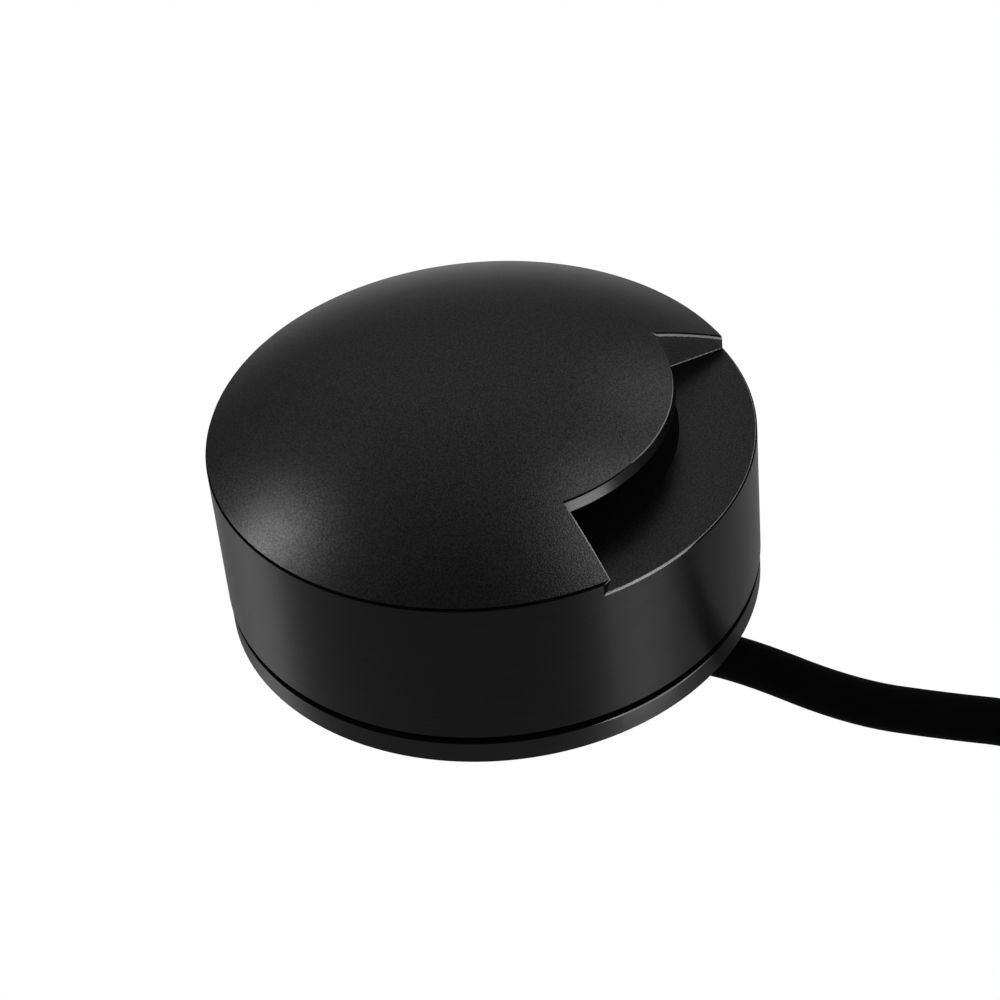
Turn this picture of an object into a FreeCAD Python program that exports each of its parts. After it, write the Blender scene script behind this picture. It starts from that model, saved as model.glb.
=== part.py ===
# A small round outdoor wall light: a domed housing that twists onto a wall base. A quarter is cut out of
# the dome's rim, and light leaves sideways through the slot between the curved lip and the flat ledge.
# Frame: the wall is z = 0, +Z points out of the wall, and light leaves towards -Y. Millimetres and degrees.
import FreeCAD, Part
import Sketcher
import math
import os
import re

Vector = FreeCAD.Vector
doc = FreeCAD.newDocument("wall_light")

# Driving sizes, one cell each
driving = {
    # housing
    "body_radius": 30.0,
    "side_height": 18.59,
    "dome_rise": 7.96,
    "side_wall": 2.7,
    "rim_chamfer": 0.28,
    "skirt_chamfer": 0.25,
    "notch_angle": 89.6,
    "lip_radius": 21.38,
    "lip_wall": 1.2,
    "lip_bevel": 1.1,
    "lip_bevel_lean": 18.0,
    "ledge_drop": 1.5,
    "ledge_wall": 2.0,
    "ledge_chamfer": 0.3,
    # wall base
    "base_inset": 0.1,
    "base_height": 2.62,
    "base_chamfer": 0.3,
    "shadow_gap": 0.92,
    "spigot_wall": 2.2,
    "seal_section": 1.8,
    "groove_play": 0.2,
    "groove_land": 0.8,
    "wall_hole_radius": 2.2,
    "wall_hole_reach": 16.5,
    # bayonet
    "lug_count": 3,
    "lug_depth": 1.5,
    "lug_height": 2.0,
    "base_lug_height": 1.8,
    "housing_lug_angle": 24.0,
    "base_lug_angle": 26.0,
    "stop_angle": 4.0,
    "stop_play": 1.0,
    "turn_angle": 30.0,
    # clearances
    "turning_gap": 0.3,
    "sliding_gap": 0.1,
    "seal_gap": 0.05,
    "seat_gap": 0.02,
    # window
    "window_setback": 5.16,
    "window_wall": 1.6,
    "window_overlap": 3.0,
    "window_sill": 1.4,
    "window_head": 0.6,
    "gasket_wall": 0.4,
    # lamp bracket and lamps
    "lamp_room": 7.8,
    "upright_room": 2.4,
    "bracket_wall": 2.0,
    "foot_wall": 1.8,
    "foot_margin": 1.7,
    "arm_wall": 1.5,
    "pad_wall": 0.3,
    "led_board_wall": 1.0,
    "led_board_gap": 1.1,
    "led_width": 3.5,
    "led_tall": 2.6,
    "led_depth": 0.7,
    "led_pitch": 5.2,
    "led_lead_inset": 1.0,
    "led_lead_bend": 1.8,
    "led_lead_diameter": 1.2,
    # driver board
    "board_gap": 4.8,
    "board_wall": 1.2,
    "boss_height": 3.4,
    "boss_radius": 2.6,
    "boss_inset": 3.2,
    "screw_radius": 1.2,
    "screw_grip": 3.2,
    "tap_run": 1.0,
    "screw_head_radius": 2.3,
    "screw_head_height": 1.3,
    "bracket_screw_reach": 7.0,
    "bracket_screw_back": 2.0,
    "part_inset": 8.5,
    "part_angle": 52.0,
    "row_inset": 10.5,
    "inductor_radius": 4.2,
    "inductor_height": 5.0,
    "inductor_flange": 0.9,
    "inductor_waist": 2.4,
    "capacitor_radius": 3.15,
    "capacitor_height": 6.0,
    "rectifier_length": 6.2,
    "rectifier_width": 5.2,
    "rectifier_height": 2.5,
    "chip_length": 5.0,
    "chip_width": 4.0,
    "chip_height": 1.6,
    "resistor_length": 2.0,
    "resistor_width": 1.25,
    "resistor_height": 0.6,
    "resistor_pitch": 2.4,
    "terminal_width": 3.4,
    "terminal_height": 2.0,
    "terminal_reach": 6.0,
    # gland and cable
    "cable_diameter": 5.2,
    "core_diameter": 1.5,
    "core_gap": 0.7,
    "mouth_room": 1.8,
    "mouth_depth": 1.2,
    "gland_floor": 1.6,
    "bush_wall": 2.0,
    "gland_wall": 2.6,
    "seal_height": 2.0,
    "nut_sleeve": 1.6,
    "nut_brim": 0.9,
    "nut_height": 1.7,
    "jacket_stand": 0.6,
    # coil of spare cable
    "coil_mean_radius": 27.6,
    "coil_gap": 0.8,
    "tie_wall": 0.9,
    "tie_width": 3.6,
    "lock_length": 5.0,
    "lock_height": 1.8,
    "core_length": 14.0,
    "ferrule_length": 6.0,
    "ferrule_diameter": 1.1,
}

# Sizes worked out from them
derived = {
    "cavity_radius": "body_radius - side_wall",
    "skirt_z": "base_height + shadow_gap",
    "rim_z": "skirt_z + side_height",
    "apex_z": "rim_z + dome_rise",
    "dome_radius": "(body_radius * body_radius + dome_rise * dome_rise) / (2 * dome_rise)",
    "lip_z": "apex_z - dome_radius + sqrt(dome_radius * dome_radius - lip_radius * lip_radius)",
    "lip_foot_z": "lip_z - lip_bevel",
    "bevel_top_z": "lip_z + lip_bevel",
    "bevel_top_radius": "lip_radius - 2 * lip_bevel * tan(lip_bevel_lean)",
    "ledge_z": "rim_z - ledge_drop",
    "ceiling_z": "ledge_z - ledge_wall",
    "slot_top_z": "lip_z - lip_wall",
    "pocket_top_z": "slot_top_z + window_head",
    "notch_half": "notch_angle / 2",
    "window_half": "notch_half + window_overlap",
    "window_radius": "lip_radius - window_setback",
    "window_inner": "window_radius - window_wall",
    "window_foot_z": "ledge_z - window_sill",
    "window_top_z": "pocket_top_z - sliding_gap",
    "rebate_radius": "window_radius + gasket_wall",
    "pocket_half": "rebate_radius * sin(window_half)",
    "bracket_half": "pocket_half - turning_gap",
    "upright_reach": "window_inner - lamp_room",
    "pocket_back": "upright_reach - bracket_wall - upright_room",
    "foot_half": "bracket_screw_reach + screw_head_radius + foot_margin",
    "foot_reach": "bracket_screw_back + screw_head_radius + foot_margin",
    "base_radius": "body_radius - base_inset",
    "shoulder_radius": "cavity_radius - turning_gap",
    "groove_radius": "cavity_radius - seal_gap - seal_section - seat_gap",
    "seal_mid_radius": "cavity_radius - seal_gap - seal_section / 2",
    "groove_low_z": "skirt_z + groove_land",
    "groove_top_z": "groove_low_z + seal_section + groove_play",
    "land_z": "groove_top_z + groove_land",
    "lug_inner": "cavity_radius - lug_depth",
    "spigot_radius": "lug_inner - turning_gap",
    "spigot_inner": "spigot_radius - spigot_wall",
    "lug_low_z": "land_z + sliding_gap",
    "lug_top_z": "lug_low_z + lug_height",
    "base_lug_z": "lug_top_z + 2 * sliding_gap",
    "spigot_top_z": "base_lug_z + base_lug_height",
    "entry_stop_turn": "turn_angle + housing_lug_angle / 2 + stop_play + stop_angle / 2",
    "lock_stop_turn": "housing_lug_angle / 2 + stop_play + stop_angle / 2",
    "cable_radius": "cable_diameter / 2",
    "cable_bore": "cable_radius + turning_gap",
    "mouth_radius": "cable_radius + mouth_room",
    "core_offset": "(core_diameter + core_gap) / 2",
    "gland_bore": "cable_radius + bush_wall",
    "nut_flats": "2 * (gland_bore + nut_brim)",
    "seal_top_z": "gland_floor + seal_height",
    "hub_top_z": "seal_top_z + nut_sleeve",
    "hub_radius": "gland_bore + gland_wall",
    "nut_top_z": "hub_top_z + nut_height",
    "jacket_top_z": "nut_top_z + jacket_stand",
    "board_radius": "cavity_radius - board_gap",
    "boss_reach": "board_radius - boss_inset",
    "part_reach": "board_radius - part_inset",
    "row_reach": "board_radius - row_inset",
    "board_top_z": "ceiling_z - boss_height",
    "board_low_z": "board_top_z - board_wall",
    "terminal_low_z": "board_low_z - terminal_height",
    "screw_hole": "screw_radius + seal_gap",
    "led_mid_z": "(ledge_z + slot_top_z) / 2",
    "led_board_half": "bracket_half - arm_wall - led_board_gap",
    "led_lead_reach": "led_board_half - led_lead_inset",
    "led_board_back": "upright_reach + pad_wall",
    "led_board_front": "led_board_back + led_board_wall",
    "led_board_low_z": "ceiling_z + ledge_wall / 4",
    "led_board_top_z": "pocket_top_z - window_head",
}

sheet = doc.addObject("Spreadsheet::Sheet", "sizes")
for row, (name, number) in enumerate(driving.items(), start=1):
    sheet.set(f"A{row}", str(number))
    sheet.setAlias(f"A{row}", name)
doc.recompute()


# Spells out a formula of size names as an expression that reads the sheet
def formula(text):
    def spelled(match):
        word = match.group(0)
        if word in derived:
            return "(" + formula(derived[word]) + ")"
        return "sizes." + word if word in driving else word

    return re.sub(r"[a-z][a-z_0-9]*", spelled, str(text))


# The number that a formula gives now
def size(text):
    return float(sheet.evalExpression(formula(text)))


def bind(thing, **properties):
    for name, text in properties.items():
        thing.setExpression(name, formula(text))
    return thing


def place(thing, x="0", y="0", z="0"):
    for name, text in (("x", x), ("y", y), ("z", z)):
        thing.setExpression(f"Placement.Base.{name}", formula(text))
    return thing


nodes = []


# Gives a finished sub-part its node name
def finished(thing, label):
    thing.Label = label
    nodes.append(thing)
    return thing


def new_body(name):
    return doc.addObject("PartDesign::Body", name)


# A sketch on one of the body's own planes, lifted and turned about the plane's normal
def new_sketch(body, name, role, lift="0", turn=None):
    sketch = body.newObject("Sketcher::SketchObject", name)
    plane = next(f for f in body.Origin.OriginFeatures if f.Role == role)
    sketch.AttachmentSupport = (plane, [""])
    sketch.MapMode = "FlatFace"
    if turn:
        sketch.AttachmentOffset = FreeCAD.Placement(Vector(), FreeCAD.Rotation(Vector(0, 0, 1), 0.1))
        sketch.setExpression("AttachmentOffset.Rotation.Angle", formula(turn))
    sketch.setExpression("AttachmentOffset.Base.z", formula(lift))
    return sketch


# Holds one coordinate of a sketch point at a formula
def hold(sketch, kind, line, end, text):
    number = size(text)
    axis_line = -2 if kind == "DistanceX" else -1
    if abs(number) < 1e-9:
        sketch.addConstraint(Sketcher.Constraint("PointOnObject", line, end, axis_line))
        return
    ends = (-1, 1, line, end) if number > 0 else (line, end, -1, 1)
    index = sketch.addConstraint(Sketcher.Constraint(kind, *ends, abs(number)))
    sketch.setExpression(f"Constraints[{index}]", formula(text if number > 0 else f"-({text})"))


# A closed outline through corners; from the corners listed in rounds an arc about the vertical axis leaves
def outline(sketch, corners, rounds=()):
    points = [Vector(size(x), size(y), 0) for x, y in corners]
    count = len(points)
    for i, start in enumerate(points):
        end = points[(i + 1) % count]
        if i in rounds:
            rise = end.y - start.y
            radius = (start.x**2 + rise**2) / (2 * rise)
            middle = Vector(0, end.y - radius, 0)
            first = math.atan2(start.y - middle.y, start.x)
            circle = Part.Circle(middle, Vector(0, 0, 1), radius)
            sketch.addGeometry(Part.ArcOfCircle(circle, first, math.pi / 2))
        else:
            sketch.addGeometry(Part.LineSegment(start, end))
    for i, (x, y) in enumerate(corners):
        sketch.addConstraint(Sketcher.Constraint("Coincident", i, 2, (i + 1) % count, 1))
        hold(sketch, "DistanceX", i, 1, x)
        hold(sketch, "DistanceY", i, 1, y)
        if i in rounds:
            sketch.addConstraint(Sketcher.Constraint("PointOnObject", i, 3, -2))


# A ring sector about the origin, centred on -Y
def sector(sketch, inner, outer, half):
    low, high, spread = size(inner), size(outer), math.radians(size(half))
    down = -math.pi / 2
    origin, normal = Vector(), Vector(0, 0, 1)

    def on_circle(radius, angle):
        return Vector(radius * math.cos(angle), radius * math.sin(angle), 0)

    left, right = down - spread, down + spread
    outer_arc = sketch.addGeometry(Part.ArcOfCircle(Part.Circle(origin, normal, high), left, right))
    right_side = sketch.addGeometry(Part.LineSegment(on_circle(high, right), on_circle(low, right)))
    inner_arc = sketch.addGeometry(Part.ArcOfCircle(Part.Circle(origin, normal, low), left, right))
    left_side = sketch.addGeometry(Part.LineSegment(on_circle(low, left), on_circle(high, left)))
    for a, a_end, b, b_end in (
        (outer_arc, 2, right_side, 1),
        (right_side, 2, inner_arc, 2),
        (inner_arc, 1, left_side, 1),
        (left_side, 2, outer_arc, 1),
        (outer_arc, 3, -1, 1),
        (inner_arc, 3, -1, 1),
    ):
        sketch.addConstraint(Sketcher.Constraint("Coincident", a, a_end, b, b_end))
    for arc, radius in ((outer_arc, outer), (inner_arc, inner)):
        index = sketch.addConstraint(Sketcher.Constraint("Radius", arc, size(radius)))
        sketch.setExpression(f"Constraints[{index}]", formula(radius))
    for side in (right_side, left_side):
        sketch.addConstraint(Sketcher.Constraint("PointOnObject", -1, 1, side))
    hold(sketch, "DistanceX", outer_arc, 1, f"-({outer}) * sin({half})")
    hold(sketch, "DistanceX", outer_arc, 2, f"({outer}) * sin({half})")


# Circles of one radius at the given places
def circles(sketch, places, radius):
    for x, y in places:
        middle = Vector(size(x), size(y), 0)
        line = sketch.addGeometry(Part.Circle(middle, Vector(0, 0, 1), size(radius)))
        hold(sketch, "DistanceX", line, 3, x)
        hold(sketch, "DistanceY", line, 3, y)
        index = sketch.addConstraint(Sketcher.Constraint("Radius", line, size(radius)))
        sketch.setExpression(f"Constraints[{index}]", formula(radius))


def revolve(body, name, corners, rounds=()):
    sketch = new_sketch(body, name + "_profile", "XZ_Plane")
    outline(sketch, corners, rounds)
    turned = body.newObject("PartDesign::Revolution", name)
    turned.Profile = sketch
    turned.ReferenceAxis = (sketch, ["V_Axis"])
    turned.Angle = 360
    return turned


# A turned cut through part of a circle, centred on the profile's plane
def groove(body, name, corners, angle):
    sketch = new_sketch(body, name + "_profile", "YZ_Plane")
    outline(sketch, corners)
    cut = body.newObject("PartDesign::Groove", name)
    cut.Profile = sketch
    cut.ReferenceAxis = (sketch, ["V_Axis"])
    cut.Midplane = True
    return bind(cut, Angle=angle)


def pad(body, name, sketch, length):
    grown = body.newObject("PartDesign::Pad", name)
    grown.Profile = sketch
    return bind(grown, Length=length)


# A pocket cut from its sketch towards +Z
def pocket_up(body, name, sketch, length):
    cut = body.newObject("PartDesign::Pocket", name)
    cut.Profile = sketch
    cut.Reversed = True
    return bind(cut, Length=length)


# Copies of a feature, evenly round the Z axis
def ring_of(body, name, feature, count):
    pattern = body.newObject("PartDesign::PolarPattern", name)
    pattern.Originals = [feature]
    pattern.Axis = (feature.Profile[0], ["N_Axis"])
    pattern.Angle = 360
    bind(pattern, Occurrences=count)
    body.Tip = pattern
    return pattern


def box(name, x, y, z, low):
    thing = bind(doc.addObject("Part::Box", name), Length=x, Width=y, Height=z)
    return place(thing, *low)


def cylinder(name, radius, height, middle):
    thing = bind(doc.addObject("Part::Cylinder", name), Radius=radius, Height=height)
    return place(thing, *middle)


def joined(kind, name, things):
    thing = doc.addObject(kind, name)
    if kind == "Part::Compound":
        thing.Links = things
    elif kind in ("Part::MultiFuse", "Part::MultiCommon"):
        thing.Shapes = things
    else:
        thing.Base, thing.Tool = things
    return thing


# A place at a reach from the axis and an angle from +X
def polar(reach, angle):
    return f"{reach} * cos({angle})", f"{reach} * sin({angle})"


# The board's screws stand evenly round the axis from +Y, the bracket's on either side of it
board_screw_count = 3
board_screw_places = [polar("boss_reach", 90 + 360 / board_screw_count * i) for i in range(board_screw_count)]
bracket_screw_places = [(f"{side} * bracket_screw_reach", "bracket_screw_back") for side in (-1, 1)]


# Housing: a turned shell with a solid top, the notch, the light slot and the lamp pocket cut into it
def make_housing():
    body = new_body("housing_body")
    shell = revolve(
        body,
        "housing_shell",
        [
            ("0", "ceiling_z"),
            ("cavity_radius", "ceiling_z"),
            ("cavity_radius", "skirt_z"),
            ("body_radius - skirt_chamfer", "skirt_z"),
            ("body_radius", "skirt_z + skirt_chamfer"),
            ("body_radius", "rim_z"),
            ("0", "apex_z"),
        ],
        rounds=(5,),
    )
    doc.recompute()
    before = shell.Shape.Volume

    notch = new_sketch(body, "notch_outline", "XY_Plane", "ledge_z")
    sector(notch, "lip_radius", "body_radius + side_wall", "notch_half")
    notch_cut = pocket_up(body, "notch", notch, "apex_z - ledge_z")
    doc.recompute()
    print(f"housing notch removes {before - notch_cut.Shape.Volume:.0f} mm3")

    # the lip's face leans back
    bevel = groove(
        body,
        "lip_edge",
        [
            ("-lip_radius", "lip_foot_z"),
            ("-(lip_radius + lip_bevel)", "lip_foot_z"),
            ("-(lip_radius + lip_bevel)", "bevel_top_z"),
            ("-bevel_top_radius", "bevel_top_z"),
        ],
        "notch_angle",
    )
    doc.recompute()

    # the rest of the dome's edge has one chamfer, and the ledge's outer edge another
    top = body.newObject("PartDesign::Chamfer", "dome_edge")
    top.Base = (bevel, dome_edges(bevel.Shape))
    bind(top, Size="rim_chamfer")
    doc.recompute()
    ledge = body.newObject("PartDesign::Chamfer", "ledge_edge")
    ledge.Base = (top, ledge_edges(top.Shape))
    bind(ledge, Size="ledge_chamfer")

    slot = new_sketch(body, "slot_outline", "XY_Plane", "ledge_z")
    sector(slot, "window_inner", "lip_radius + lip_wall", "notch_half")
    pocket_up(body, "light_slot", slot, "slot_top_z - ledge_z")

    lamp_pocket = new_sketch(body, "lamp_pocket_outline", "XY_Plane", "ceiling_z")
    lamp_outline(lamp_pocket, "rebate_radius", "pocket_half", "pocket_back")
    pocket_up(body, "lamp_pocket", lamp_pocket, "pocket_top_z - ceiling_z")

    bosses = new_sketch(body, "boss_circles", "XY_Plane", "board_top_z")
    circles(bosses, board_screw_places, "boss_radius")
    pad(body, "board_bosses", bosses, "boss_height")
    holes = new_sketch(body, "boss_holes_circles", "XY_Plane", "board_top_z")
    circles(holes, board_screw_places, "screw_hole")
    pocket_up(body, "boss_holes", holes, "screw_grip + tap_run")
    taps = new_sketch(body, "bracket_holes_circles", "XY_Plane", "ceiling_z")
    circles(taps, bracket_screw_places, "screw_hole")
    pocket_up(body, "bracket_holes", taps, "screw_grip + tap_run")

    lug = new_sketch(body, "housing_lug_outline", "XY_Plane", "lug_low_z")
    sector(lug, "lug_inner", "cavity_radius + side_wall / 4", "housing_lug_angle / 2")
    ring_of(body, "housing_lugs", pad(body, "housing_lug", lug, "lug_height"), "lug_count")
    finished(body, "housing")


# The edges that bound the dome's face, except the arc along the lip
def dome_edges(shape):
    dome = max(shape.Faces, key=lambda face: face.CenterOfMass.z)
    names = []
    for i, edge in enumerate(shape.Edges, start=1):
        middle = edge.valueAt((edge.FirstParameter + edge.LastParameter) / 2)
        past_lip = math.hypot(middle.x, middle.y) > size("lip_radius")
        if past_lip and any(edge.isSame(other) for other in dome.Edges):
            names.append(f"Edge{i}")
    return names


# The ledge's outer edge, an arc on the housing's side at the ledge's height
def ledge_edges(shape):
    radius, height = size("body_radius"), size("ledge_z")
    names = []
    for i, edge in enumerate(shape.Edges, start=1):
        middle = edge.valueAt((edge.FirstParameter + edge.LastParameter) / 2)
        on_side = abs(math.hypot(middle.x, middle.y) - radius) < 1e-4
        if on_side and abs(middle.z - height) < 1e-4:
            names.append(f"Edge{i}")
    return names


# The lamp pocket's plan: an arc at the window's rebate, straight sides and a flat back
def lamp_outline(sketch, radius, half, back):
    reach, side, rear = size(radius), size(half), -size(back)
    front = -math.sqrt(reach**2 - side**2)
    spread = math.asin(side / reach)
    down = -math.pi / 2
    arc = sketch.addGeometry(
        Part.ArcOfCircle(Part.Circle(Vector(), Vector(0, 0, 1), reach), down - spread, down + spread)
    )
    corners = [Vector(side, front, 0), Vector(side, rear, 0), Vector(-side, rear, 0), Vector(-side, front, 0)]
    right_side, rear_side, left_side = [
        sketch.addGeometry(Part.LineSegment(start, end)) for start, end in zip(corners, corners[1:])
    ]
    for a, a_end, b, b_end in (
        (arc, 2, right_side, 1),
        (right_side, 2, rear_side, 1),
        (rear_side, 2, left_side, 1),
        (left_side, 2, arc, 1),
        (arc, 3, -1, 1),
    ):
        sketch.addConstraint(Sketcher.Constraint("Coincident", a, a_end, b, b_end))
    index = sketch.addConstraint(Sketcher.Constraint("Radius", arc, reach))
    sketch.setExpression(f"Constraints[{index}]", formula(radius))
    hold(sketch, "DistanceX", right_side, 1, half)
    hold(sketch, "DistanceX", right_side, 2, half)
    hold(sketch, "DistanceX", left_side, 1, f"-({half})")
    hold(sketch, "DistanceX", left_side, 2, f"-({half})")
    hold(sketch, "DistanceY", right_side, 2, f"-({back})")
    hold(sketch, "DistanceY", left_side, 1, f"-({back})")


# Wall base: flange, shoulder with the seal's groove, bayonet spigot and the gland's hub, turned in one piece
def make_base():
    body = new_body("base_body")
    revolve(
        body,
        "base_turned",
        [
            ("mouth_radius", "0"),
            ("base_radius - base_chamfer", "0"),
            ("base_radius", "base_chamfer"),
            ("base_radius", "base_height - base_chamfer"),
            ("base_radius - base_chamfer", "base_height"),
            ("shoulder_radius", "base_height"),
            ("shoulder_radius", "groove_low_z"),
            ("groove_radius", "groove_low_z"),
            ("groove_radius", "groove_top_z"),
            ("shoulder_radius", "groove_top_z"),
            ("shoulder_radius", "land_z"),
            ("spigot_radius", "land_z"),
            ("spigot_radius", "spigot_top_z"),
            ("spigot_inner", "spigot_top_z"),
            ("spigot_inner", "base_height"),
            ("hub_radius", "base_height"),
            ("hub_radius", "hub_top_z"),
            ("gland_bore", "hub_top_z"),
            ("gland_bore", "gland_floor"),
            ("cable_bore", "gland_floor"),
            ("cable_bore", "mouth_depth"),
        ],
    )
    lug = new_sketch(body, "base_lug_outline", "XY_Plane", "base_lug_z")
    sector(lug, "spigot_radius - spigot_wall / 4", "shoulder_radius", "base_lug_angle / 2")
    ring_of(body, "base_lugs", pad(body, "base_lug", lug, "base_lug_height"), "lug_count")
    stops = (("lock_stop", "-lock_stop_turn"), ("entry_stop", "entry_stop_turn"))
    for name, turn in stops:
        stop = new_sketch(body, name + "_outline", "XY_Plane", "land_z", turn)
        sector(stop, "spigot_radius - spigot_wall / 4", "shoulder_radius", "stop_angle / 2")
        ring_of(body, name + "s", pad(body, name, stop, "spigot_top_z - land_z"), "lug_count")
    holes = new_sketch(body, "wall_holes_circles", "XY_Plane", "0")
    circles(holes, [("wall_hole_reach", "0"), ("-wall_hole_reach", "0")], "wall_hole_radius")
    pocket_up(body, "wall_holes", holes, "base_height")
    finished(body, "base_plate")


def make_seal_ring():
    ring = bind(
        doc.addObject("Part::Torus", "seal_torus"),
        Radius1="seal_mid_radius",
        Radius2="seal_section / 2",
    )
    place(ring, z="(groove_low_z + groove_top_z) / 2")
    finished(ring, "seal_ring")


# Window: a curved clear strip, and the rubber frame between it and the slot
def make_window():
    body = new_body("window_body")
    plan = new_sketch(body, "window_outline", "XY_Plane", "window_foot_z")
    sector(plan, "window_inner", "window_radius", "window_half")
    pad(body, "window_strip", plan, "window_top_z - window_foot_z")
    finished(body, "light_window")

    body = new_body("gasket_body")
    plan = new_sketch(body, "gasket_outline", "XY_Plane", "window_foot_z")
    sector(plan, "window_radius + seat_gap", "rebate_radius - seat_gap", "window_half")
    pad(body, "gasket_strip", plan, "window_top_z - window_foot_z")
    opening = new_sketch(body, "gasket_opening_outline", "XY_Plane", "ledge_z")
    sector(opening, "window_inner", "lip_radius", "notch_half")
    pocket_up(body, "gasket_opening", opening, "slot_top_z - ledge_z")
    finished(body, "window_gasket")


# Lamp bracket: a foot under the ceiling, an upright for the lamps and two arms that hold the window
def make_bracket():
    foot = box(
        "bracket_foot",
        "2 * foot_half",
        "upright_reach + foot_reach",
        "foot_wall",
        ("-foot_half", "-upright_reach", "ceiling_z - foot_wall"),
    )
    upright = box(
        "bracket_upright",
        "2 * bracket_half",
        "bracket_wall",
        "pocket_top_z - turning_gap - ceiling_z + foot_wall",
        ("-bracket_half", "-upright_reach", "ceiling_z - foot_wall"),
    )
    pieces = [foot, upright]
    for name, low in (("left", "-bracket_half"), ("right", "bracket_half - arm_wall")):
        pieces.append(
            box(
                "bracket_arm_" + name,
                "arm_wall",
                "window_inner - upright_reach + bracket_wall",
                "window_top_z - window_foot_z - turning_gap",
                (low, "-window_inner", "window_foot_z"),
            )
        )
    rough = joined("Part::MultiFuse", "bracket_rough", pieces)
    reach = cylinder("bracket_reach", "window_inner - seat_gap", "apex_z", ("0", "0", "0"))
    trimmed = joined("Part::MultiCommon", "bracket_trimmed", [rough, reach])
    drills = []
    for i, (x, y) in enumerate(bracket_screw_places):
        below = (x, y, "ceiling_z - 1.5 * foot_wall")
        drills.append(cylinder(f"bracket_drill_{i}", "screw_hole", "2 * foot_wall", below))
        sink = bind(
            doc.addObject("Part::Cone", f"bracket_sink_{i}"),
            Radius1="screw_head_radius + seal_gap",
            Radius2="screw_hole",
            Height="screw_head_height",
        )
        drills.append(place(sink, x, y, "ceiling_z - foot_wall"))
    holes = joined("Part::MultiFuse", "bracket_drills", drills)
    finished(joined("Part::Cut", "bracket_cut", [trimmed, holes]), "led_bracket")


# Lamps: pad, board and three packages on the bracket's upright
def make_lamps():
    for label, wall, front in (
        ("thermal_pad", "pad_wall", "-led_board_back"),
        ("led_board", "led_board_wall", "-led_board_front"),
    ):
        low = ("-led_board_half", front, "led_board_low_z")
        tall = "led_board_top_z - led_board_low_z"
        finished(box(label + "_box", "2 * led_board_half", wall, tall, low), label)
    lamps = [
        box(
            f"lamp_{i}",
            "led_width",
            "led_depth",
            "led_tall",
            (f"{i} * led_pitch - led_width / 2", "-led_board_front - led_depth", "led_mid_z - led_tall / 2"),
        )
        for i in (-1, 0, 1)
    ]
    finished(joined("Part::Compound", "lamps", lamps), "led_packages")


# Screws: a pan or countersunk head below, and the shank above it
def make_screws(label, places, head_z, grip_z, sunk):
    screws = []
    for i, (x, y) in enumerate(places):
        name = f"{label}_{i}"
        if sunk:
            head = bind(
                doc.addObject("Part::Cone", name + "_head"),
                Radius1="screw_head_radius",
                Radius2="screw_radius",
                Height="screw_head_height",
            )
            place(head, x, y, head_z)
            shank_z = f"{head_z} + screw_head_height"
        else:
            head = cylinder(name + "_head", "screw_head_radius", "screw_head_height", (x, y, head_z))
            shank_z = f"{head_z} + screw_head_height / 2"
        shank = cylinder(name + "_shank", "screw_radius", f"{grip_z} - ({shank_z})", (x, y, shank_z))
        screws.append(joined("Part::Fuse", name, [head, shank]))
    finished(joined("Part::Compound", label + "_set", screws), label)


# Driver board with its parts; the tall ones hang below it, clear of the gland
def make_driver():
    disc = cylinder("board_disc", "board_radius", "board_wall", ("0", "0", "board_low_z"))
    drills = [
        cylinder(f"board_drill_{i}", "screw_hole", "3 * board_wall", (x, y, "board_low_z - board_wall"))
        for i, (x, y) in enumerate(board_screw_places)
    ]
    board = joined("Part::Cut", "board_cut", [disc, joined("Part::MultiFuse", "board_drills", drills)])
    finished(board, "driver_board")

    # a drum core with its winding between two flanges
    drum = polar("part_reach", "part_angle")
    low = "board_low_z - inductor_height"
    core = new_body("core_body")
    revolve(
        core,
        "core_turned",
        [
            ("0", "0"),
            ("inductor_radius", "0"),
            ("inductor_radius", "inductor_flange"),
            ("inductor_waist", "inductor_flange"),
            ("inductor_waist", "inductor_height - inductor_flange"),
            ("inductor_radius", "inductor_height - inductor_flange"),
            ("inductor_radius", "inductor_height"),
            ("0", "inductor_height"),
        ],
    )
    finished(place(core, *drum, low), "inductor_core")
    winding = new_body("winding_body")
    revolve(
        winding,
        "winding_turned",
        [
            ("inductor_waist + seat_gap", "inductor_flange + seat_gap"),
            ("inductor_radius - turning_gap", "inductor_flange + seat_gap"),
            ("inductor_radius - turning_gap", "inductor_height - inductor_flange - seat_gap"),
            ("inductor_waist + seat_gap", "inductor_height - inductor_flange - seat_gap"),
        ],
    )
    finished(place(winding, *drum, low), "inductor_winding")

    cans = []
    for i, angle in enumerate(("180 - part_angle", "180 + part_angle")):
        foot = (*polar("part_reach", angle), "board_low_z - capacitor_height")
        cans.append(cylinder(f"can_{i}", "capacitor_radius", "capacitor_height", foot))
    finished(joined("Part::Compound", "cans", cans), "smoothing_capacitors")

    # the middle of a block, its length, width and height
    def hung(name, x, y, length, width, height):
        low = (f"{x} - {length} / 2", f"{y} - {width} / 2", f"board_low_z - {height}")
        return box(name, length, width, height, low)

    corner = polar("part_reach", "-part_angle")
    rectifier = hung("rectifier_box", *corner, "rectifier_length", "rectifier_width", "rectifier_height")
    finished(rectifier, "bridge_rectifier")
    chip = hung("chip_box", "0", "row_reach", "chip_length", "chip_width", "chip_height")
    finished(chip, "driver_chip")
    resistors = [
        hung(
            f"resistor_{i}",
            f"{i} * resistor_pitch",
            "-row_reach",
            "resistor_width",
            "resistor_length",
            "resistor_height",
        )
        for i in (-1, 0, 1)
    ]
    finished(joined("Part::Compound", "resistors", resistors), "chip_resistors")
    terminals = [
        hung(
            f"terminal_{i}",
            f"{i} * terminal_reach",
            "0",
            "terminal_width",
            "terminal_width",
            "terminal_height",
        )
        for i in (-1, 1)
    ]
    finished(joined("Part::Compound", "terminals", terminals), "lead_terminals")


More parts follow.
